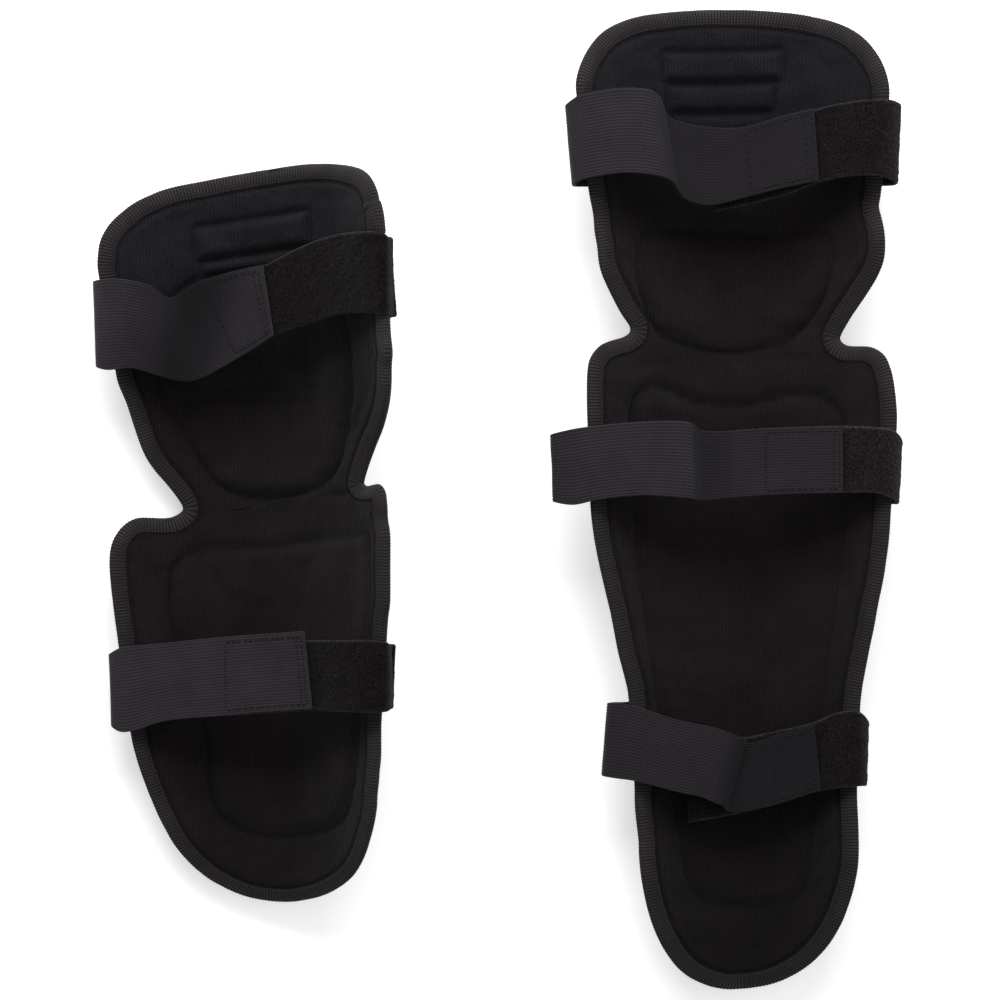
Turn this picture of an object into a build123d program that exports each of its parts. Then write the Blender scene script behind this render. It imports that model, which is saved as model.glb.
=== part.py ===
from build123d import *
import os
from math import asin, atan2, cos, degrees, radians, sin, sqrt, tan

# A pair of lying body guards, shell side down and lining side up, in one frame.
# The long one is a knee-and-shin guard with three straps, the short one an
# elbow-and-forearm guard with two. Millimetres, +Z up, origin at the middle of
# the base. +Y runs towards the thigh and upper-arm ends, +X towards the knee
# guard.

# ---------------------------------------------------------------- dimensions
LINER_T = 6.8            # whole lining sandwich
FACING_T = 0.8           # brushed knit facing
BACKING_T = 0.8          # fabric backing
LAYER_GAP = 0.2          # glue line between two layers
BINDING_LIP = 0.9        # binding tape thickness
BINDING_W = 8.0          # binding tape width on each face
BINDING_GAP = 1.0        # room between the tape and the sandwich's edge
BINDING_LIFT = 0.4       # room between the tape and the sandwich's faces
SHELL_IN = 7.3           # moulded plate, inner face, outwards from the lining
SHELL_T = 2.8            # moulded plate thickness
WEAR_TOP = 13.2          # outermost face of the wear blocks
PAD_T = 2.6              # raised comfort pads on the lining
PAD_GAP = 0.5
ELASTIC_T = 1.8
HOOK_T = 1.2
TAB_T = 2.2
PAIR_GAP = 0.35          # hook to loop, closed
KNEE_BEND = 45.0         # travel of the knee fold, degrees
ELBOW_BEND = 32.0        # travel of the elbow fold, degrees
KNEE_AXIS_Z = 8.6        # fold line, on the outer skin at the waist
ELBOW_AXIS_Z = 8.2
RIVET_R, RIVET_HEAD_R, RIVET_HEAD_T = 2.2, 5.0, 1.5
RIVET_CLEAR = 0.06
RIVET_LIFT = 0.2         # head above the plate, over its curve

# trough of each guard: y station, inner radius, height of the bottom line
KNEE = dict(
    y=[-345, -280, -210, -150, -80, -20, 15, 55, 90, 130, 185],
    r=[58, 62, 68, 76, 87, 90, 86, 86, 90, 93, 95],
    z=[21.5, 15.0, 13.2, 13.8, 15.5, 16, 14.5, 13.2, 15.5, 21.5, 34],
)
ELBOW = dict(
    y=[-215, -170, -120, -70, -20, 15, 50, 90, 130, 185],
    r=[64, 70, 78, 86, 89, 86, 86, 87, 89, 90],
    z=[20, 15, 13.5, 14, 15.5, 15, 13.2, 14.5, 18.5, 27],
)
# outline, half widths over the binding: (y, half width)
KNEE_LOW = [(-19, 77.6), (-37, 78.3), (-60, 77.2), (-90, 75.9), (-113, 72.9), (-143, 66.8),
            (-174, 60.8), (-205, 58.0), (-235, 56.5), (-266, 55.0), (-289, 51.0), (-305, 45.2),
            (-320, 34.0), (-330.5, 18.0)]
KNEE_UP = [(20, 64.0), (31.4, 70.3), (46, 73.4), (69, 73.9), (90, 75.5), (110, 78.3),
           (128, 79.0), (144, 73.2), (153, 66.0), (161.5, 52.3), (166.5, 30.0)]
ELBOW_LOW = [(-18, 75.6), (-35, 76.2), (-65, 73.8), (-90, 70.9), (-115, 68.4), (-140, 63.5),
             (-160, 57.4), (-178, 48.0), (-191, 36.0), (-201, 19.0)]
ELBOW_UP = [(24, 60.0), (40, 66.4), (60, 71.5), (80, 75.0), (110, 77.6), (135, 76.5),
            (150, 72.0), (160, 60.0), (166, 38.0)]
# where each guard lies
KNEE_AT = (121.9, 79.9, 0.0)
ELBOW_AT = (-114.2, -3.4, 2.2)
ELBOW_ROLL, ELBOW_YAW = -18.07, 0.54
ELBOW_PRE, ELBOW_SKEW, ELBOW_PIVOT_Z = 5.37, -4.07, 17.0


# ------------------------------------------------------------------ helpers
def monotone(xs, ys, x):
    """Shape-preserving cubic through the stations."""
    n = len(xs)
    h = [xs[i + 1] - xs[i] for i in range(n - 1)]
    s = [(ys[i + 1] - ys[i]) / h[i] for i in range(n - 1)]
    m = [s[0]] + [0.0] * (n - 2) + [s[-1]]
    for i in range(1, n - 1):
        if s[i - 1] * s[i] > 0:
            w1, w2 = 2 * h[i] + h[i - 1], h[i] + 2 * h[i - 1]
            m[i] = (w1 + w2) / (w1 / s[i - 1] + w2 / s[i])
    x = min(max(x, xs[0]), xs[-1])
    i = max(j for j in range(n - 1) if xs[j] <= x)
    t = (x - xs[i]) / h[i]
    return ((1 + 2 * t) * (1 - t) ** 2 * ys[i] + t * (1 - t) ** 2 * h[i] * m[i]
            + t * t * (3 - 2 * t) * ys[i + 1] + t * t * (t - 1) * h[i] * m[i + 1])


def radius(g, y):
    return monotone(g["y"], g["r"], y)


def bottom(g, y):
    return monotone(g["y"], g["z"], y)


def skin(g, phi, y, d):
    """Point on the trough, phi round from the bottom line, d outwards."""
    r = radius(g, y)
    return (sin(phi) * (r + d), y, bottom(g, y) + r - (r + d) * cos(phi))


def face_normal(g, phi, y, d):
    a = vsub(skin(g, phi + 0.01, y, d), skin(g, phi - 0.01, y, d))
    b = vsub(skin(g, phi, y + 0.5, d), skin(g, phi, y - 0.5, d))
    n = unit(cross(b, a))
    return n if n[2] < 0 else (-n[0], -n[1], -n[2])


def rim(g, y, w):
    """Angle of the sandwich's edge for an outline half width."""
    return asin(min(0.985, w / (radius(g, y) + LINER_T + BINDING_LIP))) - 1.9 / radius(g, y)


def section(g, y, a, b, d1, d2, fold=None):
    """Closed wire of a thick arc; fold leans its plane away from the hinge."""
    def at(phi, d):
        p = skin(g, phi, y, d)
        if fold is None:
            return p
        y0, za, lean = fold
        q = skin(g, phi, y0, d)
        return (q[0], y0 + (q[2] - za) * lean, q[2])
    m = (a + b) / 2
    o1, om, o2 = at(a, d2), at(m, d2), at(b, d2)
    i1, im, i2 = at(a, d1), at(m, d1), at(b, d1)
    return Wire([Edge.make_three_point_arc(o1, om, o2), Edge.make_line(o2, i2),
                 Edge.make_three_point_arc(i2, im, i1), Edge.make_line(i1, o1)])


def loft(wires):
    s = Solid.make_loft(wires, ruled=True)
    if s.volume < 0:
        s = Solid(s.wrapped.Reversed())
    return s


def layer(g, outline, fold, d1, d2, inset=0.0):
    wires = []
    if fold is not None:
        w = fold[3]
        e = rim(g, fold[0], w) - inset / radius(g, fold[0])
        wires.append(section(g, fold[0], -e, e, d1, d2, fold[:3]))
    for y, w in outline:
        e = rim(g, y, w) - inset / radius(g, y)
        if e > 0.03:
            wires.append(section(g, y, -e, e, d1, d2))
    return loft(wires)


def plate(g, outline, d1, d2):
    """outline: (y, half width) on the plate's own inner face."""
    wires = []
    for y, w in outline:
        e = asin(w / (radius(g, y) + SHELL_IN))
        wires.append(section(g, y, -e, e, d1, d2))
    return loft(wires)


def patch(g, rows, d1, d2):
    """rows: (y, left x, right x) on the lining face."""
    wires = []
    for y, a, b in rows:
        r = radius(g, y)
        wires.append(section(g, y, asin(a / r), asin(b / r), d1, d2))
    return loft(wires)


def vsub(a, b):
    return (a[0] - b[0], a[1] - b[1], a[2] - b[2])


def vadd(a, b, k=1.0):
    return (a[0] + b[0] * k, a[1] + b[1] * k, a[2] + b[2] * k)


def dot(a, b):
    return a[0] * b[0] + a[1] * b[1] + a[2] * b[2]


def cross(a, b):
    return (a[1] * b[2] - a[2] * b[1], a[2] * b[0] - a[0] * b[2], a[0] * b[1] - a[1] * b[0])


def unit(a):
    n = sqrt(dot(a, a))
    return (a[0] / n, a[1] / n, a[2] / n)


def polygon(points):
    return Wire([Edge.make_line(points[i], points[(i + 1) % len(points)])
                 for i in range(len(points))])


def binding(g, outline, fold):
    """Tape folded over the edge, one channel from waist round the end to waist.

    The edge is laid out flat, as (way round the trough, y), offset there, and
    put back on the trough, so that the tape follows the sandwich's faces.
    """
    y0, za, lean, w = fold
    e = rim(g, y0, w)
    q = skin(g, e, y0, 0)
    first = (e * radius(g, y0), y0 + (q[2] - za) * lean)
    side = [(rim(g, y, w) * radius(g, y), y) for y, w in outline]
    start = tuple(first[i] * 0.7 + side[0][i] * 0.3 for i in range(2))
    end_u, end_y = side[-1]
    across = [(end_u * k, end_y) for k in (0.72, 0.45, 0.18)]
    half = [start] + side + across
    pts = half + [(-u, v) for u, v in reversed(half)]
    up = 1.0 if outline[-1][0] > 0 else -1.0
    wires = []
    for i in range(len(pts)):
        dirs = []
        if i:
            dirs.append((pts[i][0] - pts[i - 1][0], pts[i][1] - pts[i - 1][1]))
        if i < len(pts) - 1:
            dirs.append((pts[i + 1][0] - pts[i][0], pts[i + 1][1] - pts[i][1]))
        norms = []
        for du, dv in dirs:
            n = sqrt(du * du + dv * dv)
            norms.append((dv / n * up, -du / n * up))
        nu, nv = sum(n[0] for n in norms) / len(norms), sum(n[1] for n in norms) / len(norms)
        k = nu * nu + nv * nv
        nu, nv = nu / k, nv / k
        if i in (0, len(pts) - 1):
            # square to +Y, so that the two cut ends of the tape are flat
            nu, nv = (1.0 if pts[i][0] > 0 else -1.0), 0.0
        lip, gap, lift, top = BINDING_LIP, BINDING_GAP, BINDING_LIFT, LINER_T
        outer = lift + 0.3
        prof = [(-lift - lip, -BINDING_W), (-lift - lip, gap + lip), (top + outer + lip, gap + lip),
                (top + outer + lip, -BINDING_W), (top + outer, -BINDING_W), (top + outer, gap), (-lift, gap),
                (-lift, -BINDING_W)]
        ring = []
        for d, t in prof:
            u, v = pts[i][0] + nu * t, pts[i][1] + nv * t
            ring.append(skin(g, u / radius(g, v), v, d))
        wires.append(polygon(ring))
    return loft(wires)


def ribbon(stations, thick, shift=0.0):
    """stations: (far edge point, near edge point); shift along the face normal."""
    n = ribbon_normals(stations)
    wires = []
    for (a, b), m in zip(stations, n):
        hi, lo = shift + thick / 2, shift - thick / 2
        wires.append(polygon([vadd(a, m, hi), vadd(b, m, hi), vadd(b, m, lo), vadd(a, m, lo)]))
    return loft(wires)


def ribbon_normals(stations):
    mids = [((a[0] + b[0]) / 2, (a[1] + b[1]) / 2, (a[2] + b[2]) / 2) for a, b in stations]
    out = []
    for i, (a, b) in enumerate(stations):
        p, q = mids[max(0, i - 1)], mids[min(len(mids) - 1, i + 1)]
        m = unit(cross(vsub(q, p), vsub(a, b)))
        out.append(m)
    return out


def place_knee(s):
    return s.moved(Location(KNEE_AT))


ELBOW_LOC = Location(ELBOW_AT) * Location((0, 0, 0), (0, 0, ELBOW_YAW)) * Location((0, 0, 0), (0, ELBOW_ROLL, 0))
ELBOW_UP_LOC = (ELBOW_LOC * Location((0, 0, ELBOW_PIVOT_Z)) * Location((0, 0, 0), (0, 0, ELBOW_SKEW))
                * Location((0, 0, 0), (ELBOW_PRE, 0, 0)) * Location((0, 0, -ELBOW_PIVOT_Z)))


def place_elbow(s):
    return s.moved(ELBOW_LOC)


def place_elbow_up(s):
    return s.moved(ELBOW_UP_LOC)


def local_point(loc, p):
    v = (loc * Location(p)).position
    return (v.X, v.Y, v.Z)


# fold planes: (y of the cut, height of the fold line, lean, outline half width)
KF = tan(radians(KNEE_BEND / 2 + 1.0))
EF = tan(radians(ELBOW_BEND / 2 + ELBOW_PRE / 2 + 1.0))
KNEE_FOLD_LOW = (-0.35, KNEE_AXIS_Z, -KF, 60.0)
KNEE_FOLD_UP = (0.35, KNEE_AXIS_Z, KF, 57.0)
ELBOW_FOLD_LOW = (-0.35, ELBOW_AXIS_Z, -EF, 60.0)
ELBOW_FOLD_UP = (4.6, ELBOW_AXIS_Z, EF, 54.0)

parts = {}


def sandwich(prefix, g, outline, fold, place):
    f1 = FACING_T
    parts[prefix + "_facing"] = [place(layer(g, outline, fold, 0.0, f1))]
    parts[prefix + "_foam"] = [place(layer(g, outline, fold, f1 + LAYER_GAP, LINER_T - BACKING_T - LAYER_GAP))]
    parts[prefix + "_backing"] = [place(layer(g, outline, fold, LINER_T - BACKING_T, LINER_T))]
    parts[prefix + "_binding"] = [place(binding(g, outline, fold))]


def fastened_plate(name, rivets_name, g, outline, rivets, place, wear=None):
    base = plate(g, outline, SHELL_IN, SHELL_IN + SHELL_T)
    studs = []
    for x, y in rivets:
        phi = asin(x / (radius(g, y) + SHELL_IN))
        out = SHELL_IN + SHELL_T
        n = face_normal(g, phi, y, out)
        p = vadd(skin(g, phi, y, out), n, RIVET_LIFT)
        base = base - Plane(origin=vadd(p, n, -8), z_dir=n) * Cylinder(
            RIVET_R + RIVET_CLEAR, 16, align=(Align.CENTER, Align.CENTER, Align.MIN))
        slope = n[0] * sin(phi) - n[2] * cos(phi)
        h = (out - LINER_T) * slope + RIVET_LIFT - 0.35
        stud = Plane(origin=vadd(p, n, -h), z_dir=n) * Cylinder(
            RIVET_R, h + 0.5, align=(Align.CENTER, Align.CENTER, Align.MIN))
        head = Plane(origin=p, z_dir=n) * Cylinder(
            RIVET_HEAD_R, RIVET_HEAD_T, align=(Align.CENTER, Align.CENTER, Align.MIN))
        studs.append(place((stud + head).solids()[0]))
    for x1, x2, y1, y2 in wear or []:
        zs = [bottom(g, (y1 + y2) / 2) - SHELL_IN - SHELL_T * 0.6 + 2.0]
        z_hi = min(bottom(g, y1), bottom(g, y2), bottom(g, (y1 + y2) / 2)) - SHELL_IN - 0.8
        block = Pos((x1 + x2) / 2, (y1 + y2) / 2, 0) * Box(x2 - x1, y2 - y1, z_hi, align=(Align.CENTER, Align.CENTER, Align.MIN))
        base = base + block
    parts[name] = [place(s) for s in base.solids()]
    if len(parts[name]) != 1:
        print("NOTE", name, len(parts[name]), "solids")
    parts[rivets_name] = studs


# ------------------------------------------------------------- knee guard
sandwich("knee_shin", KNEE, KNEE_LOW, KNEE_FOLD_LOW, place_knee)
sandwich("knee_thigh", KNEE, KNEE_UP, KNEE_FOLD_UP, place_knee)
fastened_plate("knee_shin_plate", "knee_shin_rivets", KNEE,
               [(-17, 42), (-30, 56), (-55, 60), (-90, 59), (-130, 53), (-170, 47), (-215, 43),
                (-255, 41), (-285, 36), (-303, 26), (-312, 14)],
               [(-40, -45), (40, -45), (-27, -272), (27, -272)], place_knee,
               wear=[(-13, 13, -240, -150)])
fastened_plate("knee_cup", "knee_cup_rivets", KNEE,
               [(13, 34), (24, 44), (42, 52), (62, 54), (78, 50), (89, 40)],
               [(-40, 40), (40, 40), (-36, 76), (36, 76)], place_knee,
               wear=[(-22, 22, 34, 74)])
fastened_plate("knee_thigh_plate", "knee_thigh_rivets", KNEE,
               [(96, 44), (106, 52), (124, 54), (140, 48), (150, 38), (156, 24)],
               [(-38, 108), (38, 108), (-28, 142), (28, 142)], place_knee)
parts["knee_thigh_ribs"] = [place_knee(patch(KNEE, [(y1, -29, 29), (y2, -29, 29)], -PAD_T, -PAD_GAP))
                            for y1, y2 in ((134.5, 149.5), (118.5, 130.5), (103, 114.5))]
parts["knee_cap_pad"] = [place_knee(patch(KNEE, [
    (6, -15, 15), (12, -30, 30), (22, -40, 40), (36, -47, 47), (52, -49, 49), (64, -44, 44), (71, -20, 20)], -PAD_T, -PAD_GAP))]
parts["knee_shin_pad"] = [place_knee(patch(KNEE, [
    (-34, -49, 49), (-45, -54, 54), (-80, -54, 54), (-120, -49, 49), (-160, -42, 42), (-200, -36, 36),
    (-240, -32, 32), (-270, -28, 28), (-285, -14, 14)], -PAD_T, -PAD_GAP))]

# ------------------------------------------------------------ elbow guard
sandwich("elbow_forearm", ELBOW, ELBOW_LOW, ELBOW_FOLD_LOW, place_elbow)
sandwich("elbow_arm", ELBOW, ELBOW_UP, ELBOW_FOLD_UP, place_elbow_up)
fastened_plate("elbow_forearm_plate", "elbow_forearm_rivets", ELBOW,
               [(-17, 40), (-28, 54), (-50, 57), (-80, 54), (-110, 49), (-140, 42), (-165, 33), (-181, 22), (-187, 12)],
               [(-38, -42), (38, -42), (-22, -155), (22, -155)], place_elbow)
fastened_plate("elbow_cup", "elbow_cup_rivets", ELBOW,
               [(15, 34), (26, 44), (42, 50), (60, 52), (76, 47), (86, 38)],
               [(-38, 40), (38, 40), (-34, 72), (34, 72)], place_elbow_up)
fastened_plate("elbow_arm_plate", "elbow_arm_rivets", ELBOW,
               [(93, 42), (102, 50), (120, 52), (138, 46), (149, 36), (155, 22)],
               [(-36, 106), (36, 106), (-26, 139), (26, 139)], place_elbow_up)
parts["elbow_arm_ribs"] = [place_elbow_up(patch(ELBOW, [(y1, -29, 29), (y2, -29, 29)], -PAD_T, -PAD_GAP))
                           for y1, y2 in ((133, 147), (117, 129))]
parts["elbow_cap_pad"] = [place_elbow_up(patch(ELBOW, [
    (9, -16, 16), (15, -28, 28), (26, -37, 37), (44, -43, 43), (64, -46, 46), (84, -46, 46), (100, -38, 38), (108, -18, 18)],
    -PAD_T, -PAD_GAP))]
parts["elbow_forearm_pad"] = [place_elbow(patch(ELBOW, [
    (-24, -34, 40), (-30, -46, 48), (-50, -50, 52), (-75, -48, 50), (-100, -42, 46), (-130, -38, 42), (-155, -34, 36),
    (-166, -24, 26), (-171, -10, 12)], -PAD_T, -PAD_GAP))]

# ----------------------------------------------------------------- straps
# Each strap is given by stations across it: far edge and near edge, in the
# common frame. The elastic starts at the left rim and ends on the loop tab,
# which starts at the right rim and runs under the elastic.
STRAPS = {
    "knee_top": dict(
        el=[
            ((38.2, 200.2, 50.0), (40.9, 159.0, 50.0)),
            ((44.7, 204.0, 56.0), (45.4, 161.2, 56.0)),
            ((53.3, 205.4, 60.0), (53.9, 162.5, 60.0)),
            ((64.8, 206.4, 62.5), (64.9, 163.5, 62.5)),
            ((77.5, 204.3, 61.0), (76.6, 161.4, 61.0)),
            ((86.1, 199.1, 56.0), (85.2, 155.6, 56.0)),
            ((93.3, 191.8, 51.5), (94.9, 150.7, 51.5)),
            ((109.4, 187.0, 50.5), (108.6, 146.9, 50.5)),
            ((126.5, 186.3, 53.5), (128.8, 150.8, 53.5)),
            ((146.6, 191.1, 57.5), (146.8, 154.7, 57.5)),
            ((162.6, 194.5, 60.0), (164.4, 157.6, 60.0)),
        ],
        tab=[
            ((208.4, 192.9, 52.0), (205.0, 155.9, 52.0)),
            ((200.1, 196.6, 59.5), (195.3, 159.8, 59.5)),
            ((183.3, 197.6, 60.5), (181.5, 159.7, 60.5)),
            ((163.9, 194.4, 56.0), (164.2, 156.9, 56.0)),
            ((147.8, 189.9, 53.5), (148.1, 151.4, 53.5)),
            ((129.8, 185.6, 49.3), (131.0, 147.5, 49.3)),
            ((111.6, 183.3, 46.3), (112.3, 144.1, 46.3)),
        ],
    ),
    "knee_mid": dict(
        el=[
            ((27.1, 32.9, 49.0), (27.4, -1.6, 49.0)),
            ((37.7, 35.2, 55.0), (36.9, -3.3, 55.0)),
            ((50.3, 36.6, 58.5), (49.5, -1.0, 58.5)),
            ((71.4, 37.9, 61.0), (73.2, 1.5, 61.0)),
            ((94.2, 37.4, 60.0), (93.4, -0.4, 60.0)),
            ((103.4, 33.8, 56.0), (104.2, -2.2, 56.0)),
            ((113.1, 32.6, 55.0), (112.3, -1.3, 55.0)),
            ((132.2, 33.4, 57.0), (131.5, -0.5, 57.0)),
            ((152.3, 33.7, 59.0), (151.5, -0.1, 59.0)),
            ((173.8, 33.7, 60.5), (173.1, -0.1, 60.5)),
        ],
        tab=[
            ((206.1, 25.6, 50.0), (202.9, -6.3, 50.0)),
            ((199.8, 31.2, 57.5), (197.1, -3.1, 57.5)),
            ((189.6, 32.9, 59.5), (188.9, -0.4, 59.5)),
            ((174.2, 33.8, 56.4), (173.5, -0.1, 56.4)),
            ((152.6, 33.8, 55.0), (151.9, -0.1, 55.0)),
            ((131.4, 33.5, 52.9), (130.7, -0.5, 52.9)),
        ],
    ),
    "knee_low": dict(
        el=[
            ((53.5, -104.9, 36.0), (49.7, -142.1, 36.0)),
            ((59.0, -104.8, 40.5), (54.6, -142.9, 40.5)),
            ((67.5, -106.8, 43.5), (65.7, -144.5, 43.5)),
            ((90.2, -114.3, 46.0), (89.4, -150.9, 46.0)),
            ((107.3, -118.2, 46.5), (101.5, -153.6, 46.5)),
            ((120.6, -123.2, 44.0), (112.3, -157.1, 44.0)),
            ((125.9, -127.1, 39.5), (118.1, -161.2, 39.5)),
            ((137.3, -122.3, 39.0), (132.4, -159.5, 39.0)),
            ((157.5, -117.9, 42.5), (160.4, -151.1, 42.5)),
        ],
        tab=[
            ((187.7, -117.4, 36.0), (186.0, -150.1, 36.0)),
            ((181.2, -111.3, 41.5), (182.4, -149.6, 41.5)),
            ((169.9, -111.6, 42.5), (172.6, -150.3, 42.5)),
            ((157.9, -116.6, 38.4), (160.7, -151.9, 38.4)),
            ((133.5, -122.0, 34.9), (132.7, -159.8, 34.9)),
            ((112.5, -125.7, 34.0), (112.7, -164.0, 34.0)),
            ((92.5, -128.9, 32.5), (92.8, -167.3, 32.5)),
        ],
    ),
    "elbow_top": dict(
        el=[
            ((-205.8, 116.1, 38.8), (-205.9, 72.4, 31.8)),
            ((-198.9, 116.5, 46.3), (-198.7, 70.5, 38.3)),
            ((-190.3, 116.1, 50.8), (-186.5, 71.2, 42.3)),
            ((-176.7, 112.7, 51.3), (-171.6, 66.7, 44.8)),
            ((-168.3, 108.6, 49.3), (-161.0, 63.9, 44.8)),
            ((-159.3, 108.5, 47.3), (-146.7, 66.2, 44.8)),
            ((-148.9, 114.3, 49.8), (-132.0, 74.4, 48.8)),
            ((-134.2, 118.2, 55.3), (-121.8, 80.0, 54.8)),
            ((-117.5, 121.0, 62.3), (-112.7, 85.1, 61.8)),
        ],
        tab=[
            ((-47.6, 125.3, 89.3), (-48.9, 90.7, 84.8)),
            ((-56.2, 134.0, 96.3), (-55.2, 93.6, 91.3)),
            ((-64.7, 134.9, 91.8), (-60.7, 94.0, 88.8)),
            ((-80.7, 134.2, 78.3), (-76.6, 94.7, 76.3)),
            ((-97.9, 129.3, 66.8), (-93.2, 91.0, 66.3)),
            ((-116.8, 121.2, 57.8), (-112.0, 85.3, 57.2)),
            ((-133.5, 118.2, 50.8), (-121.1, 80.2, 50.3)),
            ((-147.1, 115.0, 45.4), (-130.7, 75.5, 44.4)),
        ],
    ),
    "elbow_low": dict(
        el=[
            ((-202.3, -75.0, 22.8), (-202.0, -112.1, 22.8)),
            ((-196.5, -71.8, 28.3), (-197.4, -114.9, 28.3)),
            ((-189.5, -70.8, 31.8), (-190.4, -114.3, 31.8)),
            ((-172.6, -69.4, 37.3), (-173.4, -109.3, 37.3)),
            ((-142.8, -66.7, 45.8), (-143.6, -106.8, 45.8)),
            ((-120.5, -65.4, 52.3), (-120.3, -104.9, 52.3)),
            ((-100.4, -64.1, 58.8), (-97.1, -103.6, 58.8)),
        ],
        tab=[
            ((-54.0, -77.0, 62.8), (-55.1, -102.7, 62.8)),
            ((-58.3, -70.6, 69.3), (-58.5, -104.8, 69.3)),
            ((-67.7, -68.9, 70.8), (-67.5, -105.5, 70.8)),
            ((-82.0, -68.8, 65.3), (-81.8, -105.0, 65.3)),
            ((-99.7, -68.8, 54.4), (-96.9, -104.8, 54.4)),
            ((-120.3, -69.1, 47.8), (-120.1, -105.7, 47.8)),
            ((-140.0, -68.9, 42.2), (-140.8, -107.1, 42.2)),
        ],
    ),
}


def anchor(g, loc, edge, toward, from_turn):
    """Fixed end of a strap: from the skin under the rim up to the fold."""
    inv = loc.inverse()
    rows = []
    ends = [local_point(inv, p) for p in edge]
    side = 1 if ends[0][0] > 0 else -1
    for turn, d in ((from_turn, 8.7), (from_turn * 0.5, 10.0), (0.0, 11.0)):
        row = []
        for e in ends:
            w = outline_at(g, e[1])
            row.append(local_point(loc, skin(g, side * (rim(g, e[1], w) - turn), e[1], d)))
        rows.append(tuple(row))
    # the loop comes up to the fold from below
    low = []
    for e, a in zip(ends, [local_point(inv, p) for p in rows[-1]]):
        reach = abs(e[0] - a[0])
        low.append(local_point(loc, (e[0] - side * (0.6 + 0.22 * reach), e[1], min(e[2], a[2] + 6) - 5.5 - 0.15 * reach)))
    rows.append(tuple(low))
    last = []
    for e, a in zip(edge, rows[-1]):
        u = unit(vsub(a, e))
        last.append(vadd(e, u, ANCHOR_GAP))
    rows.append(tuple(last))
    return rows


def outline_at(g, y):
    rows = (KNEE_LOW if y < 0 else KNEE_UP) if g is KNEE else (ELBOW_LOW if y < 0 else ELBOW_UP)
    rows = sorted(rows)
    return monotone([a for a, _ in rows], [b for _, b in rows], y)


def start_gap(rows, gap):
    (a, b), (c, d) = rows[0], rows[1]
    u, v = unit(vsub(c, a)), unit(vsub(d, b))
    return [(vadd(a, u, gap), vadd(b, v, gap))] + rows[1:]


ANCHOR_GAP = 1.5
ANCHORS = {"knee_thigh_anchors": [], "knee_shin_anchors": [], "elbow_arm_anchors": [], "elbow_forearm_anchors": []}
for name, g, loc, hook_from, turn, group in (
        ("knee_top", KNEE, Location(KNEE_AT), 3, 0.24, "knee_thigh_anchors"),
        ("knee_mid", KNEE, Location(KNEE_AT), 3, 0.20, "knee_shin_anchors"),
        ("knee_low", KNEE, Location(KNEE_AT), 2, 0.16, "knee_shin_anchors"),
        ("elbow_top", ELBOW, ELBOW_UP_LOC, 3, 0.22, "elbow_arm_anchors"),
        ("elbow_low", ELBOW, ELBOW_LOC, 3, 0.18, "elbow_forearm_anchors")):
    el, tab = STRAPS[name]["el"], STRAPS[name]["tab"]
    parts[name + "_elastic"] = [ribbon(start_gap(el, 0.3), ELASTIC_T)]
    parts[name + "_hook"] = [ribbon(el[-hook_from:], HOOK_T, -(ELASTIC_T + HOOK_T) / 2 - 0.05)]
    parts[name + "_loop_tab"] = [ribbon(start_gap(tab, 0.3), TAB_T)]
    for edge, toward in ((el[0], el[1]), (tab[0], tab[1])):
        ANCHORS[group].append(ribbon(anchor(g, loc, edge, toward, turn), ELASTIC_T))
    for edge, label in ((el[0], "strap"), (tab[0], "tab")):
        m = tuple((edge[0][i] + edge[1][i]) / 2 for i in range(3))
        u = unit(vsub(edge[0], edge[1]))
        print("HINGE", name, label, [round(c / 1000, 5) for c in m], [round(c, 5) for c in u])
parts.update(ANCHORS)

os.makedirs("parts", exist_ok=True)
lo, hi = [1e9] * 3, [-1e9] * 3
for name, solids in parts.items():
    shape = solids[0] if len(solids) == 1 else Compound(children=solids)
    export_step(shape, "parts/" + name + ".step")
    for s in solids:
        bb = s.bounding_box()
        lo = [min(lo[0], bb.min.X), min(lo[1], bb.min.Y), min(lo[2], bb.min.Z)]
        hi = [max(hi[0], bb.max.X), max(hi[1], bb.max.Y), max(hi[2], bb.max.Z)]
print("BOX", [round(v, 2) for v in lo], [round(v, 2) for v in hi], "centre", round((lo[0] + hi[0]) / 2, 2), round((lo[1] + hi[1]) / 2, 2))
ax = local_point(ELBOW_LOC, (0, 0, ELBOW_AXIS_Z))
ay = vsub(local_point(ELBOW_LOC, (1, 0, ELBOW_AXIS_Z)), ax)
print("ELBOW AXIS", [round(v / 1000, 5) for v in ax], [round(v, 5) for v in ay])
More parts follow.
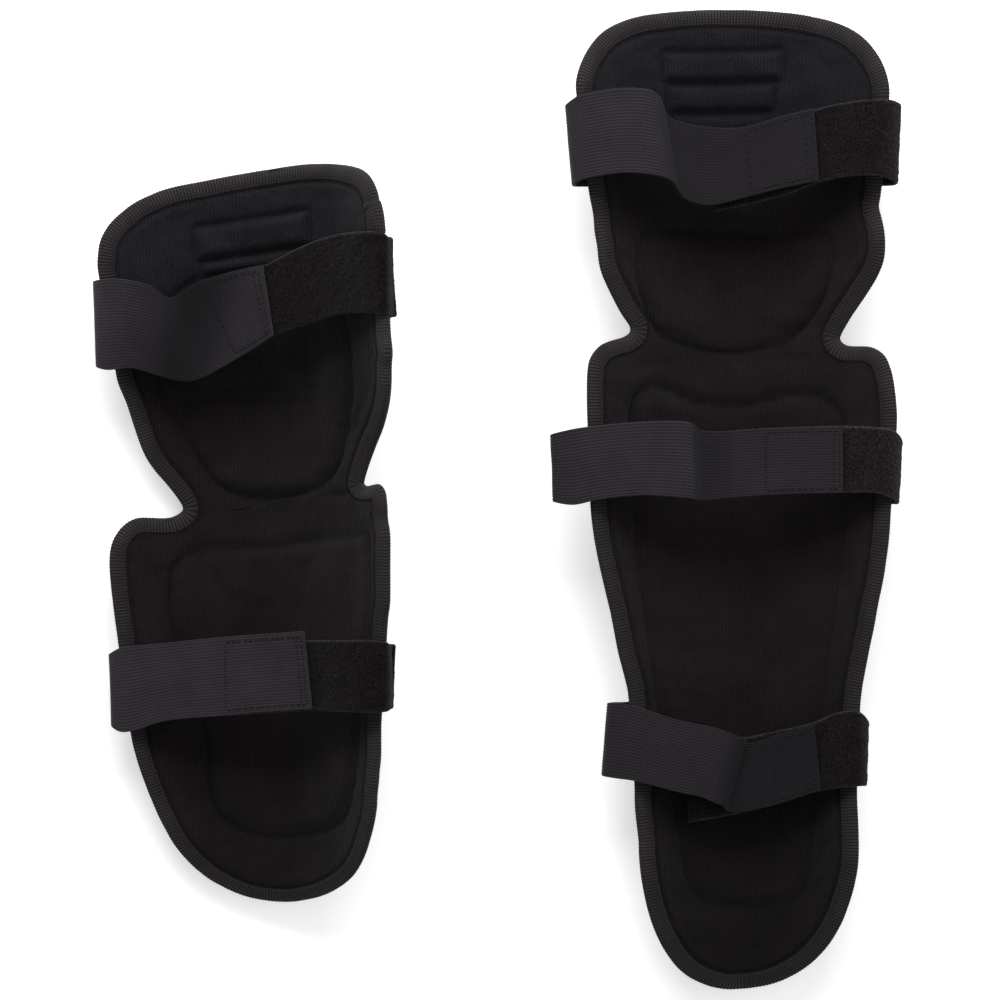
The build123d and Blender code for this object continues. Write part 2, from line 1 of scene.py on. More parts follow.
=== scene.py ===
import bpy
import math
import numpy as np
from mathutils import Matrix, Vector


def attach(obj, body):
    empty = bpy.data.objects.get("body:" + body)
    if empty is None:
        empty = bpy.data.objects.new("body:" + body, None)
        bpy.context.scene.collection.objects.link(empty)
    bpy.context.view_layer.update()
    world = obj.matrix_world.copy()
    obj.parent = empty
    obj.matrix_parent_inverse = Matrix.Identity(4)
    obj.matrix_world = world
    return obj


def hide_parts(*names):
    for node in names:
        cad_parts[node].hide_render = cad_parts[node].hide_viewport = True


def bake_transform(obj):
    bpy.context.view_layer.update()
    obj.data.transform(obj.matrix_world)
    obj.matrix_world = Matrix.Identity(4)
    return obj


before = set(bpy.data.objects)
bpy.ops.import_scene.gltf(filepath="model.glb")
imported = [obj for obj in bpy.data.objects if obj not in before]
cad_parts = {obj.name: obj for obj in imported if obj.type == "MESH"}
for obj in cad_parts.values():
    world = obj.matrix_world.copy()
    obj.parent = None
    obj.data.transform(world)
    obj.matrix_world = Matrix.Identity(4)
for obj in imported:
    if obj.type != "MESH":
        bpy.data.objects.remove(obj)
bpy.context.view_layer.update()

# ------------------------------------------------------------------ frames
KNEE = dict(
    y=[-345, -280, -210, -150, -80, -20, 15, 55, 90, 130, 185],
    r=[58, 62, 68, 76, 87, 90, 86, 86, 90, 93, 95],
    z=[21.5, 15.0, 13.2, 13.8, 15.5, 16, 14.5, 13.2, 15.5, 21.5, 34],
)
ELBOW = dict(
    y=[-215, -170, -120, -70, -20, 15, 50, 90, 130, 185],
    r=[64, 70, 78, 86, 89, 86, 86, 87, 89, 90],
    z=[20, 15, 13.5, 14, 15.5, 15, 13.2, 14.5, 18.5, 27],
)
KNEE_AT = np.array([121.9, 79.9, 0.0])
ELBOW_AT = np.array([-114.2, -3.4, 2.2])
ELBOW_ROLL, ELBOW_YAW = -18.07, 0.54
ELBOW_PRE, ELBOW_SKEW, PIVOT_Z = 5.37, -4.07, 17.0
LINER_T = 6.8


def rot(axis, deg):
    a = math.radians(deg)
    c, s = math.cos(a), math.sin(a)
    return {
        "x": np.array([[1, 0, 0], [0, c, -s], [0, s, c]]),
        "y": np.array([[c, 0, s], [0, 1, 0], [-s, 0, c]]),
        "z": np.array([[c, -s, 0], [s, c, 0], [0, 0, 1]]),
    }[axis]


def pchip(xs, ys, x):
    xs, ys = np.asarray(xs, float), np.asarray(ys, float)
    h = np.diff(xs)
    s = np.diff(ys) / h
    m = np.zeros(len(xs))
    m[0], m[-1] = s[0], s[-1]
    for i in range(1, len(xs) - 1):
        if s[i - 1] * s[i] > 0:
            w1, w2 = 2 * h[i] + h[i - 1], h[i] + 2 * h[i - 1]
            m[i] = (w1 + w2) / (w1 / s[i - 1] + w2 / s[i])
    x = np.clip(np.asarray(x, float), xs[0], xs[-1])
    i = np.clip(np.searchsorted(xs, x, side="right") - 1, 0, len(xs) - 2)
    t = (x - xs[i]) / h[i]
    return ((1 + 2 * t) * (1 - t) ** 2 * ys[i] + t * (1 - t) ** 2 * h[i] * m[i]
            + t * t * (3 - 2 * t) * ys[i + 1] + t * t * (t - 1) * h[i] * m[i + 1])


def R(g, v):
    return pchip(g["y"], g["r"], v)


def Z0(g, v):
    return pchip(g["y"], g["z"], v)


def local(g, u, v, d):
    r = R(g, v)
    phi = u / r
    return np.stack([np.sin(phi) * (r + d), v + 0 * u, Z0(g, v) + r - (r + d) * np.cos(phi)], -1)


def smooth(t):
    t = np.clip(t, 0, 1)
    return t * t * (3 - 2 * t)


E_LOW = rot("z", ELBOW_YAW) @ rot("y", ELBOW_ROLL)
E_UP = rot("z", ELBOW_SKEW) @ rot("x", ELBOW_PRE)


def place(g, p, part=None):
    """Local millimetres to the common frame. part None blends over the waist."""
    p = np.asarray(p, float)
    if g is KNEE:
        return p + KNEE_AT
    piv = np.array([0, 0, PIVOT_Z])
    up = (p - piv) @ E_UP.T + piv
    if part == "low":
        q = p
    elif part == "up":
        q = up
    else:
        w = smooth((p[..., 1:2] + 10) / 26.0)
        q = p * (1 - w) + up * w
    return q @ E_LOW.T + ELBOW_AT


def skin(g, u, v, d, part=None):
    u, v, d = np.broadcast_arrays(np.asarray(u, float), np.asarray(v, float), np.asarray(d, float))
    return place(g, local(g, u, v, d), part)


# ----------------------------------------------------------------- curves
def catmull(pts, n=10, closed=False):
    pts = np.asarray(pts, float)
    k = len(pts)
    out = []
    rng = range(k if closed else k - 1)
    for i in rng:
        if closed:
            p0, p1, p2, p3 = pts[(i - 1) % k], pts[i], pts[(i + 1) % k], pts[(i + 2) % k]
        else:
            p1, p2 = pts[i], pts[i + 1]
            p0 = pts[i - 1] if i else 2 * p1 - p2
            p3 = pts[i + 2] if i + 2 < k else 2 * p2 - p1
        t0 = 0.0
        t1 = t0 + max(1e-6, np.linalg.norm(p1 - p0)) ** 0.5
        t2 = t1 + max(1e-6, np.linalg.norm(p2 - p1)) ** 0.5
        t3 = t2 + max(1e-6, np.linalg.norm(p3 - p2)) ** 0.5
        t = np.linspace(t1, t2, n, endpoint=False)[:, None]
        a1 = (t1 - t) / (t1 - t0) * p0 + (t - t0) / (t1 - t0) * p1
        a2 = (t2 - t) / (t2 - t1) * p1 + (t - t1) / (t2 - t1) * p2
        a3 = (t3 - t) / (t3 - t2) * p2 + (t - t2) / (t3 - t2) * p3
        b1 = (t2 - t) / (t2 - t0) * a1 + (t - t0) / (t2 - t0) * a2
        b2 = (t3 - t) / (t3 - t1) * a2 + (t - t1) / (t3 - t1) * a3
        out.append((t2 - t) / (t2 - t1) * b1 + (t - t1) / (t2 - t1) * b2)
    out = np.concatenate(out)
    return out if closed else np.vstack([out, pts[-1]])


def resample(pts, step=None, n=None, closed=False):
    p = np.vstack([pts, pts[:1]]) if closed else np.asarray(pts)
    s = np.concatenate([[0], np.cumsum(np.linalg.norm(np.diff(p, axis=0), axis=1))])
    if n is None:
        n = max(2, int(round(s[-1] / step)))
    t = np.linspace(0, s[-1], n, endpoint=not closed) if not closed else np.linspace(0, s[-1], n, endpoint=False)
    return np.stack([np.interp(t, s, p[:, k]) for k in range(p.shape[1])], -1)


def normals2d(p, closed=False):
    if closed:
        d = np.roll(p, -1, 0) - np.roll(p, 1, 0)
    else:
        d = np.gradient(p, axis=0)
    d /= np.maximum(1e-9, np.linalg.norm(d, axis=1))[:, None]
    return np.stack([d[:, 1], -d[:, 0]], -1)


def sdf(poly, q):
    """Signed distance to a closed polygon, negative inside. q is (N, 2)."""
    poly = np.asarray(poly, float)
    a, b = poly, np.roll(poly, -1, 0)
    best = np.full(len(q), 1e9)
    inside = np.zeros(len(q), bool)
    for (ax, ay), (bx, by) in zip(a, b):
        ex, ey = bx - ax, by - ay
        wx, wy = q[:, 0] - ax, q[:, 1] - ay
        t = np.clip((wx * ex + wy * ey) / max(1e-9, ex * ex + ey * ey), 0, 1)
        best = np.minimum(best, np.hypot(wx - ex * t, wy - ey * t))
        cond = (ay > q[:, 1]) != (by > q[:, 1])
        if abs(ey) > 1e-12:
            inside ^= cond & (q[:, 0] < ex * (q[:, 1] - ay) / ey + ax)
    return np.where(inside, -best, best)


def bar(cx, cy, hx, hy, slope=0.0, r=2.0):
    a = []
    for sx, sy, start in ((1, -1, -90), (1, 1, 0), (-1, 1, 90), (-1, -1, 180)):
        for k in range(4):
            t = math.radians(start + 30 * k)
            x, y = sx * (hx - r) + r * math.cos(t), sy * (hy - r) + r * math.sin(t)
            a.append((cx + x, cy + y + slope * x))
    return np.array(a)


def wobble(u, v, seed, scale):
    """Smooth repeatable unevenness in -1..1."""
    out = 0
    rng = np.random.RandomState(seed)
    for k in range(6):
        a, b, c = rng.uniform(-1, 1), rng.uniform(-1, 1), rng.uniform(0, 6.28)
        n = math.hypot(a, b) + 1e-6
        f = (0.6 + 0.35 * k) / scale
        out = out + np.sin((u * a / n + v * b / n) * f * 6.28 + c) / (1 + 0.5 * k)
    return out / 3.2


# ----------------------------------------------------------------- meshes
def make(name, verts_mm, faces, mats, uv=None, face_mat=None, smooth_shade=True):
    me = bpy.data.meshes.new(name)
    v = np.asarray(verts_mm, float) * 0.001
    me.from_pydata(v.tolist(), [], [tuple(int(i) for i in f) for f in faces])
    for m in mats:
        me.materials.append(m)
    if face_mat is not None:
        me.polygons.foreach_set("material_index", np.asarray(face_mat, np.int32))
    if smooth_shade:
        me.polygons.foreach_set("use_smooth", np.ones(len(me.polygons), bool))
    if uv is not None:
        layer = me.uv_layers.new(name="cloth")
        idx = np.zeros(len(me.loops), np.int32)
        me.loops.foreach_get("vertex_index", idx)
        layer.data.foreach_set("uv", np.asarray(uv, float)[idx].astype(np.float32).ravel())
    me.update()
    me.validate()
    ob = bpy.data.objects.new(name, me)
    bpy.context.scene.collection.objects.link(ob)
    return ob


def grid_faces(n, m, base=0, wrap_n=False, wrap_m=False, flip=False):
    i = np.arange(n if wrap_n else n - 1)
    j = np.arange(m if wrap_m else m - 1)
    I, J = np.meshgrid(i, j, indexing="ij")
    a = base + I * m + J
    b = base + ((I + 1) % n) * m + J
    c = base + ((I + 1) % n) * m + (J + 1) % m
    d = base + I * m + (J + 1) % m
    f = np.stack([a, b, c, d] if not flip else [a, d, c, b], -1).reshape(-1, 4)
    return f


def tube_caps(n, m, base=0, flip=False):
    first = [base + k for k in range(m)]
    last = [base + (n - 1) * m + k for k in range(m)]
    return [first if flip else first[::-1], last[::-1] if flip else last]


def fix_normals(ob):
    import bmesh
    bm = bmesh.new()
    bm.from_mesh(ob.data)
    bmesh.ops.recalc_face_normals(bm, faces=bm.faces)
    bm.to_mesh(ob.data)
    bm.free()
    return ob


# -------------------------------------------------------------- materials
def nodes_of(name):
    m = bpy.data.materials.new(name)
    m.use_nodes = True
    nt = m.node_tree
    nt.nodes.clear()
    out = nt.nodes.new("ShaderNodeOutputMaterial")
    bs = nt.nodes.new("ShaderNodeBsdfPrincipled")
    nt.links.new(bs.outputs[0], out.inputs[0])
    return m, nt, bs


def N(nt, kind, **kw):
    n = nt.nodes.new(kind)
    for k, v in kw.items():
        if k in n.bl_rna.properties:
            setattr(n, k, v)
        else:
            n.inputs[k].default_value = v
    return n


def L(nt, a, b):
    nt.links.new(a, b)


def coords(nt, kind, scale=(1, 1, 1)):
    if kind == "uv":
        n = nt.nodes.new("ShaderNodeUVMap")
        n.uv_map = "cloth"
        src = n.outputs[0]
    else:
        n = nt.nodes.new("ShaderNodeTexCoord")
        src = n.outputs["Object"]
    mp = nt.nodes.new("ShaderNodeMapping")
    mp.inputs["Scale"].default_value = scale
    L(nt, src, mp.inputs[0])
    return mp.outputs[0]


def ramp(nt, src, stops):
    r = nt.nodes.new("ShaderNodeValToRGB")
    cr = r.color_ramp
    while len(cr.elements) < len(stops):
        cr.elements.new(0.5)
    for e, (p, c) in zip(cr.elements, stops):
        e.position = p
        e.color = (c[0], c[1], c[2], 1)
    L(nt, src, r.inputs[0])
    return r.outputs[0]


def bump(nt, height, strength, distance, prev=None):
    b = nt.nodes.new("ShaderNodeBump")
    b.inputs["Strength"].default_value = strength
    b.inputs["Distance"].default_value = distance
    L(nt, height, b.inputs["Height"])
    if prev is not None:
        L(nt, prev, b.inputs["Normal"])
    return b.outputs[0]


def math_node(nt, op, a, b=None):
    n = nt.nodes.new("ShaderNodeMath")
    n.operation = op
    for i, x in enumerate((a, b)):
        if x is None:
            continue
        if isinstance(x, (int, float)):
            n.inputs[i].default_value = x
        else:
            L(nt, x, n.inputs[i])
    return n.outputs[0]


def mix_colour(nt, fac, a, b, blend="MIX"):
    n = nt.nodes.new("ShaderNodeMix")
    n.data_type = "RGBA"
    n.blend_type = blend
    if isinstance(fac, (int, float)):
        n.inputs[0].default_value = fac
    else:
        L(nt, fac, n.inputs[0])
    for i, x in ((6, a), (7, b)):
        if isinstance(x, tuple):
            n.inputs[i].default_value = (*x, 1)
        else:
            L(nt, x, n.inputs[i])
    return n.outputs[2]


def scaled(c, k):
    return tuple(x * k for x in c)


def knit(name, lit_colour, shaded_colour, sheen=0.05, rib=1.7):
    """Brushed rib knit: fine wales along y, short fuzz, uneven tone. Painted light and shade: the lit colour toward the
    top where the light falls, the shaded colour lower down, times a painted shade factor. UV in cm.
    """
    m, nt, bs = nodes_of(name)
    uv = coords(nt, "uv")
    wave = N(nt, "ShaderNodeTexWave", wave_type="BANDS", bands_direction="X", wave_profile="SIN")
    wave.inputs["Scale"].default_value = math.pi / rib
    wave.inputs["Distortion"].default_value = 2.6
    wave.inputs["Detail"].default_value = 2.0
    wave.inputs["Detail Scale"].default_value = 1.4
    wave.inputs["Detail Roughness"].default_value = 0.65
    L(nt, uv, wave.inputs[0])
    loops = N(nt, "ShaderNodeTexNoise", Scale=15.0, Detail=4.0, Roughness=0.72)
    L(nt, coords(nt, "uv", (1.0, 0.6, 1.0)), loops.inputs["Vector"])
    fine = N(nt, "ShaderNodeTexNoise", Scale=48.0, Detail=3.0, Roughness=0.65)
    L(nt, uv, fine.inputs["Vector"])
    hairs = N(nt, "ShaderNodeTexNoise", Scale=26.0, Detail=2.0, Roughness=0.5)
    L(nt, coords(nt, "uv", (1.0, 0.3, 1.0)), hairs.inputs["Vector"])
    broad = N(nt, "ShaderNodeTexNoise", Scale=0.4, Detail=5.0, Roughness=0.65)
    L(nt, uv, broad.inputs["Vector"])
    # painted light: the facing turns from the shaded colour to the lighter, cooler lit colour toward the top
    fade_and_painted_light = nt.nodes.new("ShaderNodeAttribute")
    fade_and_painted_light.attribute_name = "fade_and_painted_light"
    base = mix_colour(nt, fade_and_painted_light.outputs["Fac"], shaded_colour, lit_colour)
    tone = ramp(nt, broad.outputs[0], [(0.3, (0.74, 0.72, 0.72)), (0.7, (1.26, 1.25, 1.28))])
    c = mix_colour(nt, 1.0, base, tone, "MULTIPLY")
    ribtone = ramp(nt, wave.outputs[0], [(0.12, (0.70, 0.69, 0.70)), (0.75, (1.18, 1.18, 1.18))])
    c = mix_colour(nt, 0.85, c, ribtone, "MULTIPLY")
    fl = ramp(nt, loops.outputs[0], [(0.34, (0.36, 0.35, 0.36)), (0.5, (0.92, 0.92, 0.92)), (0.68, (1.95, 1.9, 1.98))])
    c = mix_colour(nt, 0.9, c, fl, "MULTIPLY")
    st = ramp(nt, hairs.outputs[0], [(0.6, (1.0, 1.0, 1.0)), (0.72, (2.3, 2.2, 2.4))])
    c = mix_colour(nt, 0.7, c, st, "MULTIPLY")
    # painted shade: darker in grooves, folds and under the binding, and toward the lower end
    sh = nt.nodes.new("ShaderNodeAttribute")
    sh.attribute_name = "shade"
    c = mix_colour(nt, 1.0, c, sh.outputs["Color"], "MULTIPLY")
    L(nt, c, bs.inputs["Base Color"])
    n1 = bump(nt, wave.outputs[0], 0.55, 0.0004)
    n2 = bump(nt, loops.outputs[0], 0.7, 0.0006, n1)
    n3 = bump(nt, fine.outputs[0], 0.45, 0.00025, n2)
    L(nt, n3, bs.inputs["Normal"])
    bs.inputs["Roughness"].default_value = 0.93
    bs.inputs["Specular IOR Level"].default_value = 0.12
    bs.inputs["Sheen Weight"].default_value = sheen
    bs.inputs["Sheen Roughness"].default_value = 0.45
    bs.inputs["Sheen Tint"].default_value = (0.9, 0.88, 0.95, 1)
    return m


def weave(name, base, sheen, pitch_u, pitch_v, contrast=0.5, rough=0.85, var=0.25, spec=0.2, depth=0.00025,
          cross=1.0, grain=0.7, painted=False):
    """Woven tape or elastic: threads both ways, uneven tone, and with painted set, painted light and shade from the
    tone attribute. UV in cm.
    """
    m, nt, bs = nodes_of(name)
    uv = coords(nt, "uv")
    a = N(nt, "ShaderNodeTexWave", wave_type="BANDS", bands_direction="X", wave_profile="SIN")
    a.inputs["Scale"].default_value = math.pi / pitch_u
    a.inputs["Distortion"].default_value = 0.4
    L(nt, uv, a.inputs[0])
    b = N(nt, "ShaderNodeTexWave", wave_type="BANDS", bands_direction="Y", wave_profile="SIN")
    b.inputs["Scale"].default_value = math.pi / pitch_v
    b.inputs["Distortion"].default_value = 0.5
    L(nt, uv, b.inputs[0])
    weft = math_node(nt, "ADD", math_node(nt, "MULTIPLY", b.outputs[0], cross), 1.0 - cross)
    h = math_node(nt, "MULTIPLY", a.outputs[0], weft)
    fine = N(nt, "ShaderNodeTexNoise", Scale=34.0, Detail=4.0, Roughness=0.7)
    L(nt, uv, fine.inputs["Vector"])
    speck = N(nt, "ShaderNodeTexNoise", Scale=19.0, Detail=2.0, Roughness=0.6)
    L(nt, uv, speck.inputs["Vector"])
    broad = N(nt, "ShaderNodeTexNoise", Scale=0.5, Detail=4.0, Roughness=0.6)
    L(nt, uv, broad.inputs["Vector"])
    tone = ramp(nt, broad.outputs[0], [(0.3, scaled(base, 1 - var)), (0.7, scaled(base, 1 + var))])
    thread = ramp(nt, h, [(0.05, scaled((1, 1, 1), 1 - contrast)), (0.6, (1.1, 1.1, 1.1))])
    c = mix_colour(nt, 0.95, tone, thread, "MULTIPLY")
    fl = ramp(nt, fine.outputs[0], [(0.33, (0.6, 0.59, 0.6)), (0.7, (1.5, 1.47, 1.5))])
    c = mix_colour(nt, grain, c, fl, "MULTIPLY")
    sp = ramp(nt, speck.outputs[0], [(0.36, (0.62, 0.61, 0.62)), (0.5, (1.0, 1.0, 1.0)), (0.66, (1.6, 1.58, 1.6))])
    c = mix_colour(nt, grain * 0.7, c, sp, "MULTIPLY")
    # painted light and shade from the tone attribute
    if painted:
        sh = nt.nodes.new("ShaderNodeAttribute")
        sh.attribute_name = "tone"
        c = mix_colour(nt, 1.0, c, sh.outputs["Color"], "MULTIPLY")
    L(nt, c, bs.inputs["Base Color"])
    n1 = bump(nt, h, 0.6, depth)
    n2 = bump(nt, fine.outputs[0], 0.45, depth * 0.8, n1)
    L(nt, n2, bs.inputs["Normal"])
    bs.inputs["Roughness"].default_value = rough
    bs.inputs["Specular IOR Level"].default_value = spec
    bs.inputs["Sheen Weight"].default_value = sheen
    bs.inputs["Sheen Roughness"].default_value = 0.5
    bs.inputs["Sheen Tint"].default_value = (0.92, 0.9, 0.95, 1)
    return m


def pile(name, base, sheen=0.5):
    """Loop pile: matted short loops, times painted light and shade from the tone attribute."""
    m, nt, bs = nodes_of(name)
    uv = coords(nt, "uv")
    cells = N(nt, "ShaderNodeTexVoronoi", Scale=11.0, Randomness=1.0)
    L(nt, uv, cells.inputs["Vector"])
    fuzz = N(nt, "ShaderNodeTexNoise", Scale=20.0, Detail=6.0, Roughness=0.78, Distortion=0.4)
    L(nt, uv, fuzz.inputs["Vector"])
    broad = N(nt, "ShaderNodeTexNoise", Scale=1.1, Detail=5.0, Roughness=0.65)
    L(nt, uv, broad.inputs["Vector"])
    tone = ramp(nt, broad.outputs[0], [(0.3, scaled(base, 0.72)), (0.72, scaled(base, 1.3))])
    tuft = N(nt, "ShaderNodeTexNoise", Scale=8.5, Detail=3.0, Roughness=0.7)
    L(nt, uv, tuft.inputs["Vector"])
    tf = ramp(nt, tuft.outputs[0], [(0.36, (0.42, 0.41, 0.42)), (0.5, (0.95, 0.95, 0.95)), (0.64, (1.9, 1.85, 1.9))])
    tone = mix_colour(nt, 0.9, tone, tf, "MULTIPLY")
    fl = ramp(nt, fuzz.outputs[0], [(0.38, (0.38, 0.37, 0.39)), (0.64, (2.0, 1.95, 2.0))])
    c = mix_colour(nt, 0.9, tone, fl, "MULTIPLY")
    sp = ramp(nt, cells.outputs["Distance"], [(0.1, (1.35, 1.33, 1.36)), (0.55, (0.7, 0.69, 0.7))])
    c = mix_colour(nt, 0.8, c, sp, "MULTIPLY")
    # painted light and shade from the tone attribute
    sh = nt.nodes.new("ShaderNodeAttribute")
    sh.attribute_name = "tone"
    c = mix_colour(nt, 1.0, c, sh.outputs["Color"], "MULTIPLY")
    L(nt, c, bs.inputs["Base Color"])
    n1 = bump(nt, cells.outputs["Distance"], 0.6, 0.0006)
    n2 = bump(nt, fuzz.outputs[0], 0.8, 0.0007, n1)
    L(nt, n2, bs.inputs["Normal"])
    bs.inputs["Roughness"].default_value = 0.98
    bs.inputs["Specular IOR Level"].default_value = 0.05
    bs.inputs["Sheen Weight"].default_value = sheen
    bs.inputs["Sheen Roughness"].default_value = 0.35
    bs.inputs["Sheen Tint"].default_value = (0.9, 0.88, 0.92, 1)
    return m


def hooks(name, base):
    m, nt, bs = nodes_of(name)
    uv = coords(nt, "uv")
    cells = N(nt, "ShaderNodeTexVoronoi", Scale=9.0, Randomness=0.15)
    L(nt, uv, cells.inputs["Vector"])
    c = ramp(nt, cells.outputs["Distance"], [(0.05, scaled(base, 2.0)), (0.4, base), (0.8, scaled(base, 0.5))])
    L(nt, c, bs.inputs["Base Color"])
    n1 = bump(nt, cells.outputs["Distance"], 1.0, -0.0008)
    L(nt, n1, bs.inputs["Normal"])
    bs.inputs["Roughness"].default_value = 0.5
    return m


def moulded(name, base):
    """Moulded plate: fine grain, scuffs, paler worn edges."""
    m, nt, bs = nodes_of(name)
    co = coords(nt, "object", (1000, 1000, 1000))
    grain = N(nt, "ShaderNodeTexNoise", Scale=2.4, Detail=4.0, Roughness=0.6)
    L(nt, co, grain.inputs["Vector"])
    broad = N(nt, "ShaderNodeTexNoise", Scale=0.035, Detail=6.0, Roughness=0.6)
    L(nt, co, broad.inputs["Vector"])
    streak = N(nt, "ShaderNodeTexNoise", Scale=1.0, Detail=5.0, Roughness=0.7)
    L(nt, coords(nt, "object", (700, 28, 300)), streak.inputs["Vector"])
    scuff = ramp(nt, streak.outputs[0], [(0.66, (0, 0, 0)), (0.74, (1, 1, 1))])
    geo = nt.nodes.new("ShaderNodeNewGeometry")
    edge = ramp(nt, geo.outputs["Pointiness"], [(0.5, (0, 0, 0)), (0.62, (1, 1, 1))])
    tone = ramp(nt, broad.outputs[0], [(0.3, scaled(base, 0.8)), (0.7, scaled(base, 1.25))])
    c = mix_colour(nt, math_node(nt, "MULTIPLY", scuff, 0.35), tone, scaled(base, 3.2))
    c = mix_colour(nt, math_node(nt, "MULTIPLY", edge, 0.5), c, scaled(base, 2.6))
    L(nt, c, bs.inputs["Base Color"])
    rough = N(nt, "ShaderNodeMapRange")
    L(nt, broad.outputs[0], rough.inputs[0])
    rough.inputs[3].default_value = 0.42
    rough.inputs[4].default_value = 0.6
    L(nt, rough.outputs[0], bs.inputs["Roughness"])
    n1 = bump(nt, grain.outputs[0], 0.35, 0.00012)
    L(nt, n1, bs.inputs["Normal"])
    bs.inputs["Specular IOR Level"].default_value = 0.45
    return m


def coated(name, base):
    m, nt, bs = nodes_of(name)
    co = coords(nt, "object", (1000, 1000, 1000))
    n = N(nt, "ShaderNodeTexNoise", Scale=1.2, Detail=5.0, Roughness=0.6)
    L(nt, co, n.inputs["Vector"])
    geo = nt.nodes.new("ShaderNodeNewGeometry")
    edge = ramp(nt, geo.outputs["Pointiness"], [(0.5, (0, 0, 0)), (0.6, (1, 1, 1))])
    tone = ramp(nt, n.outputs[0], [(0.35, scaled(base, 0.75)), (0.7, scaled(base, 1.3))])
    c = mix_colour(nt, math_node(nt, "MULTIPLY", edge, 0.6), tone, (0.30, 0.29, 0.28))
    L(nt, c, bs.inputs["Base Color"])
    bs.inputs["Metallic"].default_value = 0.7
    bs.inputs["Roughness"].default_value = 0.38
    L(nt, bump(nt, n.outputs[0], 0.15, 0.0001), bs.inputs["Normal"])
    return m


# facing colours: lit and cooler for the top, shaded and warmer lower down (painted light and shade)
M_KNIT = knit("facing_knit", (0.0094, 0.0086, 0.0109), (0.0091, 0.0070, 0.0077))
M_BACK = weave("backing_cloth", (0.012, 0.011, 0.012), 0.1, 0.9, 0.9, 0.55, 0.9)
M_BIND = weave("binding_tape", (0.0262, 0.0226, 0.0229), 0.06, 1.6, 1.5, 0.80, 0.9, 0.22, 0.12, 0.00035, 0.6, 1.0, True)
M_ELAS = weave("ribbed_elastic", (0.0222, 0.0192, 0.0240), 0.06, 1.5, 1.1, 0.50, 0.85, 0.14, 0.15, 0.0003, 0.45, 1.0, True)
M_PILE = pile("loop_pile", (0.0088, 0.0075, 0.0082), 0.08)
M_HOOK = hooks("hook_tape", (0.02, 0.018, 0.021))
M_PLATE = moulded("moulded_plate", (0.018, 0.018, 0.019))
M_RIVET = coated("black_rivet", (0.03, 0.03, 0.032))
M_THREAD_DARK = weave("dark_thread", (0.0075, 0.0068, 0.0078), 0.03, 0.4, 0.4, 0.3, 0.75)
M_THREAD = weave("thread", (0.022, 0.020, 0.022), 0.05, 0.4, 0.4, 0.3, 0.7)

